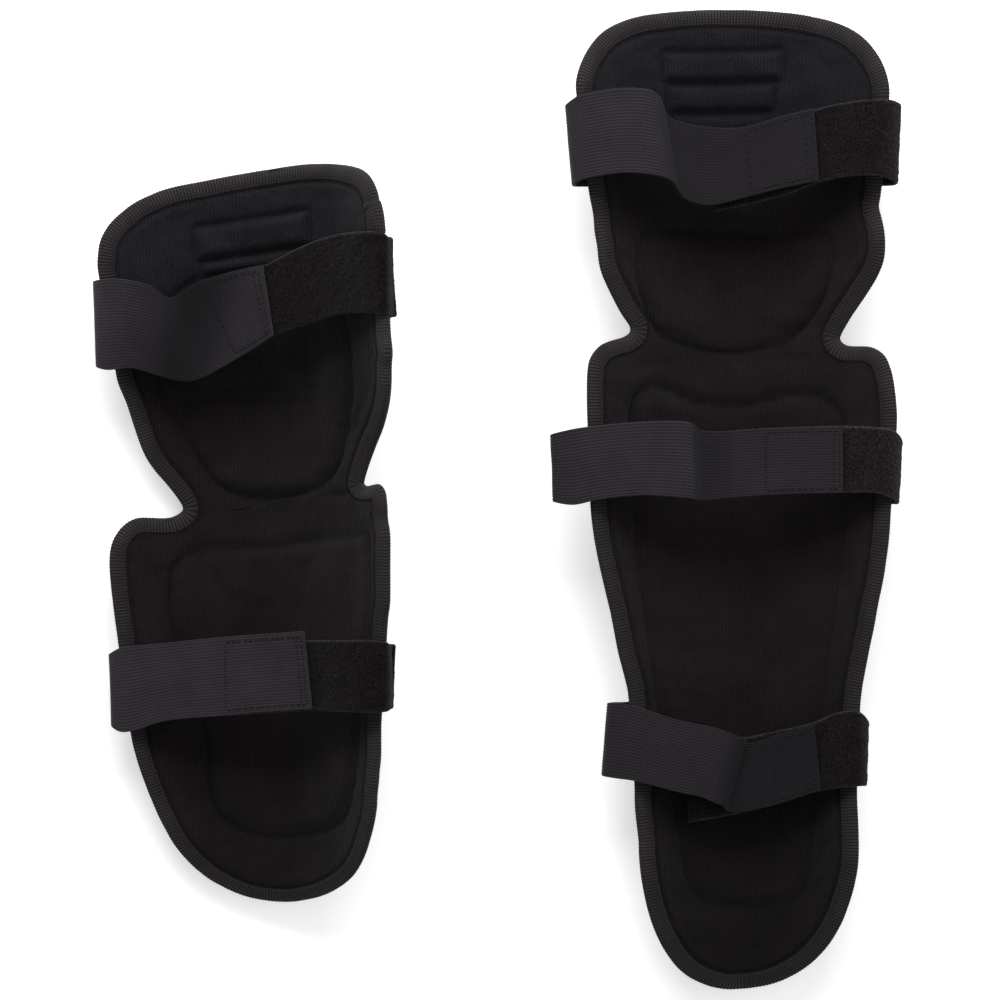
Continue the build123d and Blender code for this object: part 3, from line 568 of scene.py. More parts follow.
# ---------------------------------------------------------------- outlines
# Both sides of each guard's edge, from the bottom centre to the top centre, in
# (way round the trough, way along it). The middle of the folded edge runs here.
OUTLINE = {
    "knee": dict(
        left=[
            (0.0, -331.9), (-8.0, -332.1), (-12.9, -331.3), (-16.8, -330.3), (-21.4, -328.3), (-26.7, -325.5),
            (-30.0, -323.2), (-33.7, -319.9), (-40.7, -311.3), (-43.9, -306.3), (-47.3, -300.1), (-51.4, -289.9),
            (-55.1, -275.4), (-56.4, -264.5), (-56.4, -255.5), (-58.2, -238.7), (-58.0, -227.7), (-58.9, -203.6),
            (-60.0, -179.6), (-61.9, -171.9), (-66.2, -158.5), (-70.6, -139.0), (-74.4, -125.5), (-77.8, -112.9),
            (-80.4, -101.2), (-82.2, -87.4), (-82.3, -73.4), (-82.3, -59.3), (-82.2, -45.3), (-82.3, -31.3),
            (-81.7, -17.3), (-80.8, -12.4), (-79.5, -9.8), (-75.9, -6.4), (-72.5, -4.3), (-67.7, -2.7),
            (-58.0, -0.3), (-54.4, 1.3), (-52.9, 2.5), (-51.8, 4.0), (-51.4, 6.8), (-51.9, 8.6),
            (-52.9, 10.3), (-57.3, 15.7), (-65.1, 27.4), (-69.8, 35.1), (-71.3, 38.8), (-72.0, 41.7),
            (-72.8, 48.6), (-74.5, 56.4), (-75.1, 64.4), (-77.4, 75.1), (-79.5, 89.0), (-81.4, 101.9),
            (-83.5, 115.8), (-85.2, 128.7), (-84.7, 131.5), (-82.7, 136.1), (-79.6, 141.2), (-75.8, 145.9),
            (-71.6, 150.2), (-67.7, 153.3), (-63.5, 156.0), (-58.1, 158.6), (-46.8, 162.5), (-34.0, 164.9),
            (-12.0, 166.6), (0.0, 166.5),
        ],
        right=[
            (0.0, -331.9), (9.9, -330.3), (17.4, -327.6), (25.3, -323.2), (33.2, -317.1), (40.9, -309.2),
            (48.0, -299.5), (52.7, -290.7), (56.3, -282.4), (57.9, -277.7), (59.9, -270.0), (60.7, -262.0),
            (60.4, -248.0), (59.7, -234.1), (61.1, -209.1), (62.7, -184.1), (66.9, -165.5), (72.4, -146.3),
            (74.9, -135.6), (77.6, -125.9), (79.7, -116.1), (82.2, -100.4), (82.8, -90.4), (85.4, -66.5),
            (87.8, -42.6), (87.2, -33.6), (85.4, -22.8), (83.4, -17.1), (81.0, -12.8), (77.9, -10.4),
            (73.3, -8.6), (70.3, -8.1), (61.3, -7.6), (57.5, -6.7), (54.2, -4.5), (53.2, -3.0),
            (52.6, -1.2), (52.8, 0.7), (53.6, 2.4), (58.6, 9.8), (63.8, 16.0), (72.6, 25.5),
            (79.0, 33.3), (81.5, 37.6), (82.7, 41.3), (83.2, 47.3), (82.9, 51.3), (81.8, 56.2),
            (79.2, 63.7), (78.9, 65.6), (80.3, 72.3), (83.1, 97.2), (85.8, 121.1), (85.5, 125.0),
            (83.7, 130.6), (81.5, 135.1), (79.3, 138.5), (72.0, 146.7), (65.7, 151.6), (56.8, 156.3),
            (47.4, 159.7), (34.8, 162.9), (20.0, 165.2), (9.0, 166.2), (0.0, 166.5),
        ],
    ),
    "elbow": dict(
        left=[
            (0.0, -198.9), (-5.0, -198.6), (-11.9, -197.5), (-17.7, -195.9), (-23.3, -193.6), (-30.3, -189.7),
            (-34.5, -187.0), (-40.7, -181.9), (-45.0, -177.6), (-49.5, -172.3), (-52.9, -167.3), (-59.1, -155.8),
            (-66.7, -137.3), (-71.6, -122.0), (-73.5, -113.2), (-75.0, -99.2), (-76.4, -85.2), (-77.9, -71.2),
            (-79.2, -58.2), (-80.5, -42.2), (-81.4, -27.2), (-81.2, -21.2), (-80.6, -17.3), (-79.3, -13.5),
            (-77.7, -11.0), (-75.0, -8.0), (-71.7, -5.8), (-68.9, -4.8), (-66.9, -4.5), (-53.9, -5.2),
            (-50.0, -4.7), (-47.2, -3.7), (-44.6, -2.3), (-42.7, -0.2), (-42.3, 1.6), (-42.6, 3.4),
            (-43.9, 6.0), (-57.4, 22.2), (-60.3, 26.3), (-62.8, 30.7), (-67.3, 41.8), (-72.8, 58.0),
            (-76.7, 67.2), (-77.5, 71.1), (-81.3, 95.9), (-85.0, 120.7), (-85.6, 126.7), (-85.2, 130.7),
            (-84.0, 136.6), (-82.9, 139.4), (-81.4, 141.9), (-79.0, 145.1), (-75.4, 148.6), (-69.0, 153.5),
            (-64.8, 156.2), (-55.7, 160.5), (-47.2, 163.4), (-32.5, 166.5), (-17.7, 169.6), (0.0, 172.9),
        ],
        right=[
            (0.0, -198.9), (5.0, -198.8), (11.0, -198.0), (21.7, -195.5), (32.7, -190.7), (42.2, -185.2),
            (49.0, -179.2), (54.1, -173.1), (62.8, -158.5), (65.2, -151.9), (65.6, -150.0), (65.9, -144.0),
            (67.3, -138.2), (67.9, -133.3), (69.5, -125.5), (69.2, -108.5), (72.6, -85.7), (76.0, -63.9),
            (77.3, -58.1), (78.9, -53.3), (81.4, -48.0), (82.0, -45.1), (83.3, -29.1), (84.9, -14.1),
            (84.8, -12.2), (83.5, -7.5), (83.2, -4.5), (84.1, 8.4), (82.5, 14.1), (81.5, 15.7),
            (79.9, 16.7), (78.1, 17.1), (75.1, 16.9), (62.4, 14.5), (59.6, 15.1), (57.0, 16.3),
            (56.0, 17.5), (55.9, 18.3), (56.3, 20.0), (58.8, 25.5), (61.7, 30.7), (68.0, 39.8),
            (77.8, 51.2), (85.8, 62.6), (89.0, 71.9), (89.4, 80.9), (91.1, 86.4), (90.9, 88.3),
            (87.9, 94.5), (87.1, 97.3), (85.2, 112.2), (83.1, 126.1), (81.0, 140.9), (79.1, 154.8),
            (76.1, 160.9), (74.3, 165.5), (71.2, 169.4), (67.2, 172.5), (62.7, 174.4), (54.8, 175.8),
            (43.8, 176.6), (21.8, 176.2), (0.0, 172.9),
        ],
    ),
}

GUARDS = {
    "knee": dict(g=KNEE, low="knee_shin", up="knee_thigh"),
    "elbow": dict(g=ELBOW, low="elbow_forearm", up="elbow_arm"),
}


def closed_outline(key, inset_by, step):
    """The whole edge as one loop, moved inwards by inset_by."""
    left = catmull(OUTLINE[key]["left"], 8)
    right = catmull(OUTLINE[key]["right"], 8)
    loop = np.vstack([right, left[::-1][1:-1]])
    loop = resample(loop, 0.5, closed=True)
    for _ in range(5):
        loop = 0.25 * np.roll(loop, 1, 0) + 0.5 * loop + 0.25 * np.roll(loop, -1, 0)
    if inset_by:
        n = normals2d(loop, True)
        loop = loop - n * inset_by
    return resample(loop, step, closed=True)


def chains(key, inset_by, rows):
    """Left and right edge points paired into rows, bottom to top."""
    loop = closed_outline(key, inset_by, 0.5)
    i0 = int(np.argmin(np.abs(loop[:, 0]) + 1e3 * (loop[:, 1] > -100)))
    loop = np.roll(loop, -i0, 0)
    it = int(np.argmin(np.abs(loop[:, 0]) + 1e3 * (loop[:, 1] < 100)))
    out = []
    for side, c in ((1, loop[: it + 1]), (-1, np.vstack([loop[it:], loop[:1]])[::-1])):
        v, w = c[:, 1], np.abs(c[:, 0])
        notch = int(np.argmin(w + 1e3 * ((v < -14) | (v > 40))))
        mask = (np.arange(len(c)) < notch) & (v > -75)
        shoulder = int(np.argmax(np.where(mask, w - 0.02 * np.abs(v), -1)))
        marks = [0, shoulder, notch, len(c) - 1]
        parts = []
        for k in range(3):
            seg = resample(c[marks[k]: marks[k + 1] + 1], n=rows[k] + (1 if k == 2 else 0))
            if k < 2:
                seg = resample(c[marks[k]: marks[k + 1] + 1], n=rows[k] + 1)[:-1]
            parts.append(seg)
        c = np.vstack(parts)
        c[:, 1] = np.maximum.accumulate(c[:, 1])
        out.append(c)
    return out[1], out[0]


def roll_sides(cx, hx):
    """Sewn lines of a padded roll: clear along it, faint at its two ends."""
    return lambda u, v: 0.88 - 0.28 * smooth((np.abs(u - cx) - hx + 3.5) / 3.0)


def shin_lines(u, v):
    return np.where(v > -60, 0.35 + 0.65 * smooth((v + 52) / 14), 0.32 + 0.18 * smooth((-262 - v) / 14))


def fore_lines(u, v):
    k = 0.50 + 0.45 * smooth((v + 62) / 22) + 0.22 * smooth((-100 - v) / 25)
    return k * (1 - 0.30 * smooth((u - 40) / 20)) * (1 - 0.6 * smooth((u - 44) / 16) * smooth((-17 - v) / 8))


def cap_lines_knee(u, v):
    return 0.92 - 0.55 * smooth((v - 14) / 26)


def cap_lines_elbow(u, v):
    return 0.82 - 0.50 * smooth((v - 26) / 22) + 0.50 * smooth((v - 98) / 14)


# closed line, height, softness, how clear the sewn line is
PADS = {
    "knee": [
        (bar(-3.2, 140.4, 32.0, 8.0), 2.2, 4.6, roll_sides(-3.2, 32.0)),
        (bar(-4.2, 124.4, 28.5, 7.2), 2.1, 4.4, roll_sides(-4.2, 28.5)),
        (bar(-4, 111.0, 25, 5.4), 1.8, 4.0, roll_sides(-4, 25)),
        (catmull([(-50, 52), (-53, 40), (-50, 24), (-43, 9), (-34.6, 1.8), (-20, -3.8), (-2, -6.4), (15.5, -4.4),
                  (33.0, 2.6), (45, 15), (53, 32), (55, 49), (40, 53.6), (8, 52.4), (-18.5, 54.0), (-40, 55.8)],
                 5, True), 1.7, 8.0, cap_lines_knee),
        (catmull([(-58.5, -44), (-56.5, -33), (-52.5, -26), (-45, -22.3), (-36, -23.5), (-25, -28.3), (-12.5, -32),
                  (0, -33.4), (11, -31.8), (20, -29.6), (33.5, -27.5), (45, -29.6), (54, -35.5), (59, -45), (60, -70),
                  (56, -114), (50.5, -150), (45, -186), (40, -225), (36, -262), (33, -279), (26, -288.8),
                  (10, -291.8), (-9, -291.4), (-23, -288.0), (-30, -279), (-35, -255), (-40, -225), (-47, -186),
                  (-52, -150), (-56, -114), (-59, -70)], 4, True), 2.3, 8.5, shin_lines),
    ],
    "elbow": [
        (bar(-6.4, 142.0, 32.0, 9.2, 0.16), 2.0, 5.2, roll_sides(-6.4, 32.0)),
        (bar(-5.6, 128.5, 30.0, 4.3, 0.16), 1.8, 4.0, roll_sides(-5.6, 30.0)),
        (catmull([(-50.2, 110.1), (-36.9, 119.4), (-21.9, 122.8), (-7.1, 124.2), (8, 123.2), (26, 118), (42, 109),
                  (52, 94), (55, 74), (53.5, 58), (49, 42), (40, 22.6), (27, 13.2), (6, 7.0), (-14, 7.6),
                  (-27, 13), (-36.5, 25), (-46, 41), (-56, 57), (-59, 76), (-57, 96)], 5, True), 1.8, 8.0,
         cap_lines_elbow),
        (catmull([(-52, -64), (-54.5, -50), (-54, -41), (-51.7, -27.5), (-42, -19.6), (-27, -17.2), (-10, -17.6),
                  (6, -17.4), (20, -15.2), (32, -13.3), (52, -12.4), (68, -13.0), (72, -20), (72, -45), (66, -80),
                  (58, -115), (52, -140), (43, -157), (30, -164), (12, -167.4), (-8, -167.6), (-21, -163.6),
                  (-31, -156), (-36, -142), (-36.5, -118), (-44, -90)], 5, True), 2.2, 8.0, fore_lines),
    ],
}


def pad_fields(key, q):
    """Height of the quilted pads, distance to the nearest sewn line, and how deep that line is."""
    h = np.zeros(len(q))
    seam = np.full(len(q), 99.0)
    line = np.zeros(len(q))
    broad = np.zeros(len(q))
    for poly, height, soft, clear in PADS[key]:
        sd = sdf(poly, q)
        w = np.clip(clear(q[:, 0], q[:, 1]), 0.0, 1.0)
        h = np.maximum(h, smooth(-sd / soft) * height * (0.55 + 0.45 * w))
        seam = np.minimum(seam, np.abs(sd) + (1 - w) * 2.2)
        line = np.maximum(line, w * np.exp(-(sd / 1.5) ** 2))
        broad = np.maximum(broad, w * np.exp(-(sd / 3.8) ** 2))
    return h, seam, line, broad


# soft folds across each guard: middle height, slope, curve, half length, depth
FOLDS = {
    "knee": [(54.6, -0.062, 0.0, -6.0, 34.0, 0.9), (62.5, -0.05, 0.0, -4.0, 38.0, 0.7), (-10.5, 0.0, 0.0006, 0.0, 70.0, 0.25)],
    "elbow": [(56.0, 0.030, 0.0012, -8.0, 44.0, 0.9), (62.6, 0.034, 0.0010, -8.0, 46.0, 0.75), (80.0, 0.05, 0.0008, 4.0, 40.0, 0.3)],
}


def fold_field(key, q):
    out = np.zeros(len(q))
    for v0, slope, curve, uc, half, depth in FOLDS[key]:
        u = q[:, 0] - uc
        dv = q[:, 1] - (v0 + slope * u + curve * u * u)
        out = np.maximum(out, depth * np.exp(-(dv / 1.7) ** 2) * (1 - smooth((np.abs(u) - half + 14) / 14)))
    return out


def puff(key, U, V, seam, edge):
    """Cloth simulation: the facing swells between the lines where it is sewn down."""
    g = GUARDS[key]["g"]
    n, m = U.shape
    base = skin(g, U.ravel(), V.ravel(), 0 * U.ravel())
    above = skin(g, U.ravel(), V.ravel(), 0 * U.ravel() - 1.0)
    nrm = above - base
    faces = grid_faces(n, m, 0, flip=True)
    ob = make("sim_" + key, base, faces, [])
    # normals have to face the wearer for the pressure to push that way
    f0 = faces[len(faces) // 2]
    fn = np.cross(base[f0[1]] - base[f0[0]], base[f0[2]] - base[f0[0]])
    if fn @ nrm[f0[0]] < 0:
        ob.data.flip_normals()
    grp = ob.vertex_groups.new(name="sewn")
    pin = np.clip(np.maximum(1.0 - (edge - 8.0) / 4.0, 1.25 - np.abs(seam) / 2.2), 0.06, 1.0)
    lev = np.round(pin * 20) / 20
    for w in np.unique(lev):
        grp.add(np.where(lev == w)[0].tolist(), float(w), "REPLACE")
    md = ob.modifiers.new("cloth", "CLOTH")
    cs = md.settings
    cs.quality = 6
    cs.mass = 0.12
    cs.tension_stiffness = 9
    cs.compression_stiffness = 9
    cs.shear_stiffness = 4
    cs.bending_stiffness = 0.15
    cs.use_pressure = True
    cs.uniform_pressure_force = 3.2
    cs.vertex_group_mass = "sewn"
    cs.pin_stiffness = 0.7
    cs.shrink_min = -0.035
    cs.effector_weights.gravity = 0
    md.collision_settings.use_collision = False
    md.collision_settings.use_self_collision = False
    last = 18
    md.point_cache.frame_start = 1
    md.point_cache.frame_end = last
    sc = bpy.context.scene
    for f in range(1, last + 1):
        sc.frame_set(f)
    dg = bpy.context.evaluated_depsgraph_get()
    ev = ob.evaluated_get(dg)
    co = np.zeros(len(base) * 3, np.float32)
    ev.data.vertices.foreach_get("co", co)
    move = co.reshape(-1, 3) * 1000.0 - base
    out = (move * nrm).sum(1)
    bpy.data.objects.remove(ob, do_unlink=True)
    sc.frame_set(1)
    out = 2.4 * np.tanh(np.nan_to_num(out) / 2.4)
    print("cloth", key, "mm out: mean %.2f max %.2f min %.2f" % (out.mean(), out.max(), out.min()))
    return out.reshape(n, m)


def upsample(a):
    n, m = a.shape
    rows = np.zeros((2 * n - 1, m))
    rows[::2] = a
    rows[1::2] = (a[:-1] + a[1:]) / 2
    out = np.zeros((2 * n - 1, 2 * m - 1))
    out[:, ::2] = rows
    out[:, 1::2] = (rows[:, :-1] + rows[:, 1:]) / 2
    return out


# painted shade and light along each guard: darker toward the lower end, lighter toward the top where the light falls
SHADE = {
    "knee": [(-320, 0.52), (-250, 0.64), (-150, 0.92), (-60, 0.96), (0, 0.94), (60, 0.92), (96, 0.98), (118, 1.06), (136, 1.2), (160, 1.22)],
    "elbow": [(-190, 0.68), (-130, 0.84), (-60, 0.95), (10, 0.92), (60, 0.90), (110, 1.22), (160, 1.32)],
}


def lining(key):
    G = GUARDS[key]
    g = G["g"]
    k = (232, 20, 140) if key == "knee" else (160, 20, 150)
    if key == "elbow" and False:
        k = (80, 11, 72)
    Lc, Rc = chains(key, 0.6, k)
    keep = (np.abs(Lc[:, 0]) > 3) & (np.abs(Rc[:, 0]) > 3)
    Lc, Rc = Lc[keep], Rc[keep]
    if len(Lc) % 2 == 0:
        Lc, Rc = Lc[:-1], Rc[:-1]
    n = len(Lc)
    m = 139
    c = np.linspace(0, 1, m)[None, :]
    U = Lc[:, :1] * (1 - c) + Rc[:, :1] * c
    V = Lc[:, 1:] * (1 - c) + Rc[:, 1:] * c
    q = np.stack([U.ravel(), V.ravel()], -1)
    outline = closed_outline(key, 0, 4.0)
    edge = -sdf(outline, q)
    h, seam, line, broad = pad_fields(key, q)
    fold = fold_field(key, q)
    e2d, s2d = edge.reshape(n, m), seam.reshape(n, m)
    swell = np.zeros((n, m))
    coarse = puff(key, U[::2, ::2], V[::2, ::2], s2d[::2, ::2].ravel(), e2d[::2, ::2].ravel())
    swell = upsample(coarse)
    for _ in range(2):
        swell[1:-1] = (swell[:-2] + 2 * swell[1:-1] + swell[2:]) / 4
        swell[:, 1:-1] = (swell[:, :-2] + 2 * swell[:, 1:-1] + swell[:, 2:]) / 4
    # the sewn lines come after the simulation
    wide = 6.2 * bind_width(key, q[:, 0], q[:, 1])
    groove = 1.35 * line + 0.7 * broad + 0.85 * fold
    pinch = 2.0 * np.exp(-(np.maximum(edge, 0) / (0.84 * wide)) ** 2) + 0.7 * np.exp(-((edge - wide - 0.7) / 1.0) ** 2)
    uneven = 0.30 * wobble(q[:, 0], q[:, 1], 3, 60.0) + 0.16 * wobble(q[:, 0], q[:, 1], 4, 17.0)
    along = q[:, 1] * 1.9 + q[:, 0] * 0.35
    pucker = 0.13 * np.sin(along) * np.exp(-((edge - wide - 3.2) / 3.0) ** 2)
    pucker += 0.12 * np.sin(q[:, 0] * 1.7 + q[:, 1] * 0.9) * np.exp(-((np.abs(seam) - 3.2) / 2.2) ** 2)
    tilt = 0.0 if key == "knee" else 0.13
    vv = q[:, 1] - tilt * q[:, 0]
    crease = -0.9 * np.exp(-((vv - 4 - 0.02 * q[:, 0]) / 2.0) ** 2) * smooth((np.abs(q[:, 0]) - 26) / 14)
    crease += -0.6 * np.exp(-((vv + 8 + 0.10 * np.abs(q[:, 0])) / 2.2) ** 2) * smooth((np.abs(q[:, 0]) - 22) / 16)
    fade_and_painted_light = smooth((edge - wide + 1.2) / 5.0)
    d = -(h + (uneven + pucker + crease) * fade_and_painted_light + swell.ravel() * 0.55 * fade_and_painted_light) + groove * fade_and_painted_light + pinch
    top = skin(g, q[:, 0], q[:, 1], d)
    rows, cols = np.arange(0, n, 2), np.arange(0, m, 2)
    U2, V2 = U[np.ix_(rows, cols)], V[np.ix_(rows, cols)]
    e2 = edge.reshape(n, m)[np.ix_(rows, cols)].ravel()
    d2 = LINER_T - 0.15 - 0.9 * np.exp(-(np.maximum(e2, 0) / 6.0) ** 2) + 0.2 * wobble(U2.ravel(), V2.ravel(), 8, 30.0) * smooth((e2 - 8) / 6)
    bot = skin(g, U2.ravel(), V2.ravel(), d2)
    n2, m2 = len(rows), len(cols)
    base = n * m
    f_top = grid_faces(n, m, 0, flip=True)
    f_bot = grid_faces(n2, m2, base)
    faces = [tuple(f) for f in f_top] + [tuple(f) for f in f_bot]
    fm = [0] * len(f_top) + [1] * len(f_bot)

    def strip(a, b, flip):
        for k in range(len(b) - 1):
            tri = [(a[2 * k], b[k], a[2 * k + 1]), (a[2 * k + 1], b[k], b[k + 1]), (a[2 * k + 1], b[k + 1], a[2 * k + 2])]
            for t in tri:
                faces.append(t[::-1] if flip else t)
                fm.append(0)
    strip([i * m for i in range(n)], [base + i * m2 for i in range(n2)], False)
    strip([i * m + m - 1 for i in range(n)], [base + i * m2 + m2 - 1 for i in range(n2)], True)
    strip(list(range(m)), [base + j for j in range(m2)], True)
    strip([(n - 1) * m + j for j in range(m)], [base + (n2 - 1) * m2 + j for j in range(m2)], False)
    uv = np.vstack([q, np.stack([U2.ravel(), V2.ravel()], -1)]) * 0.1
    ob = make(key + "_lining", np.vstack([top, bot]), faces, [M_KNIT, M_BACK], uv, fm)
    # painted shade: darker along the sewn lines and their broad hollows, in the folds, in the crease at the binding's
    # edge and under the binding
    shade = 1.0 - 0.50 * line - 0.18 * broad - 0.32 * fold - 0.36 * np.exp(-((edge - wide - 0.9) / 1.1) ** 2) - 0.5 * (1 - smooth((edge - wide + 3.2) / 3.5))
    stops = SHADE[key]
    shade *= np.interp(q[:, 1], [a for a, _ in stops], [b for _, b in stops])
    # painted shade on the elbow's right side
    if key == "elbow":
        shade *= 1 - 0.45 * smooth((q[:, 0] - 32) / 14) * smooth((q[:, 1] - 34) / 16) * (1 - smooth((q[:, 1] - 108) / 14))
    paint(ob, "shade", np.concatenate([np.clip(shade, 0.12, 2), np.ones(len(U2.ravel()))]))
    # painted light: the facing's colour turns lighter and cooler toward the top
    both = np.concatenate([q[:, 1], V2.ravel()])
    paint(ob, "fade_and_painted_light", smooth((both - 45) / 85.0))
    fix_normals(ob)
    low, up = G["low"], G["up"]
    names = [low + "_facing", low + "_foam", low + "_backing", low + "_pad",
             up + "_facing", up + "_foam", up + "_backing", key + "_cap_pad", up + "_ribs"]
    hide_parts(*names)
    bend(ob, key)
    return ob


def paint(ob, name, values):
    at = ob.data.attributes.new(name, "FLOAT", "POINT")
    at.data.foreach_set("value", np.asarray(values, np.float32))


def bend(ob, key):
    """Bakes the object's transform into its mesh. Cloth that crosses the waist already turns smoothly from one section
    to the other, as skin lays it out.
    """
    g = GUARDS[key]["g"]
    a = skin(g, 0, -13.0, 3.0, "low")
    along = skin(g, 0, 17.0, 3.0, "low") - a
    if key == "elbow":
        along = rot("z", 6.0) @ along
    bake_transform(ob)


def bind_width(key, u, v):
    """How far the folded tape reaches onto the facing, as a share of its widest."""
    if key == "knee":
        return 0.86 + 0.10 * smooth((v - 120) / 30)
    k = np.interp(v, [-200, -150, -60, 0, 90, 150], [0.62, 0.60, 0.78, 0.76, 0.80, 0.90])
    return k + 0.10 * smooth((u - 40) / 20) * smooth((v + 70) / 60)


TAPE = [(1.45, -6.2), (0.8, -6.1), (0.4, -5.7), (0.24, -4.6), (0.32, -3.2), (0.6, -1.6), (1.1, -0.2), (1.8, 1.2),
        (2.8, 2.35), (3.9, 2.8), (5.0, 2.35), (6.0, 1.2), (6.7, -0.4), (7.15, -2.0), (7.4, -4.0), (7.45, -5.7),
        (7.3, -7.1), (6.9, -7.6), (6.3, -7.7)]


def outline_path(key, step):
    c = closed_outline(key, 0, step)
    n = normals2d(c, True)
    for _ in range(4):
        n = 0.25 * np.roll(n, 1, 0) + 0.5 * n + 0.25 * np.roll(n, -1, 0)
    return c, n / np.linalg.norm(n, axis=1)[:, None]


def tape(key):
    """Ribbed binding tape folded over the edge, all the way round."""
    g = GUARDS[key]["g"]
    step = 0.4
    c, nrm = outline_path(key, step)
    n, m = len(c), len(TAPE)
    s = np.arange(n) * step
    prof = np.array(TAPE)
    wav = 0.30 * wobble(s, 0 * s, 21, 40.0) + 0.12 * wobble(s, 0 * s, 22, 9.0)
    rib = 0.14 * np.cos(2 * np.pi * s / 1.6)
    verts = np.zeros((n, m, 3))
    bw = bind_width(key, c[:, 0], c[:, 1])
    for _ in range(30):
        bw = 0.25 * np.roll(bw, 1) + 0.5 * bw + 0.25 * np.roll(bw, -1)
    for j, (d, t) in enumerate(prof):
        if j < 6:
            t = t * bw
        out_d, out_t = (0, 1) if 7 <= j <= 11 else ((-1, 0) if j < 7 else (1, 0))
        soft = 1.0 if 1 <= j <= m - 2 else 0.2
        dd = d + rib * soft * out_d + (0.3 * wav if j < 7 else 0)
        tt = t + rib * soft * out_t + (wav if (j < 3 or j > m - 4) else 0.4 * wav if 7 <= j <= 11 else 0)
        verts[:, j] = skin(g, c[:, 0] + nrm[:, 0] * tt, c[:, 1] + nrm[:, 1] * tt, dd)
    faces = list(map(tuple, grid_faces(n, m, 0, wrap_n=True)))
    inner = []
    for (d, t) in ((5.9, -7.3), (5.6, -3.0), (3.9, 1.2), (2.0, -2.4), (1.7, -5.9)):
        t = t * bw if d < 3 else t
        inner.append(skin(g, c[:, 0] + nrm[:, 0] * t, c[:, 1] + nrm[:, 1] * t, d))
    inner = np.stack(inner, 1)
    k = inner.shape[1]
    base = n * m
    faces += list(map(tuple, grid_faces(n, k, base, wrap_n=True)))
    for i in range(n):
        j = (i + 1) % n
        faces.append((i * m + m - 1, j * m + m - 1, base + j * k, base + i * k))
        faces.append((base + i * k + k - 1, base + j * k + k - 1, j * m, i * m))
    uvt = np.concatenate([[0], np.cumsum(np.linalg.norm(np.diff(prof, axis=0), axis=1))])
    uv = np.stack(np.meshgrid(s, uvt, indexing="ij"), -1).reshape(-1, 2)
    uv = np.vstack([uv, np.stack(np.meshgrid(s, np.linspace(0, 10, k), indexing="ij"), -1).reshape(-1, 2)]) * 0.1
    ob = make(key + "_edge_binding", np.vstack([verts.reshape(-1, 3), inner.reshape(-1, 3)]), faces, [M_BIND], uv)
    # painted light and shade on the tape: darker on the flap toward the facing, lighter over the crest of the fold,
    # darker toward the lower end and on the inner faces
    across = np.interp(prof[:, 1], [-6.2, -3.0, 0.5, 2.8], [0.72, 0.92, 1.15, 1.25])
    across = np.where(prof[:, 0] > 3.9, 1.0, across)
    along = np.interp(c[:, 1], [-330, -200, 60, 130, 165], [0.82, 0.92, 1.0, 1.08, 1.12])
    paint(ob, "tone", np.concatenate([(along[:, None] * across[None, :]).ravel(), np.full(n * k, 0.8)]))
    fix_normals(ob)
    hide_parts(GUARDS[key]["low"] + "_binding", GUARDS[key]["up"] + "_binding")
    bend(ob, key)
    return ob


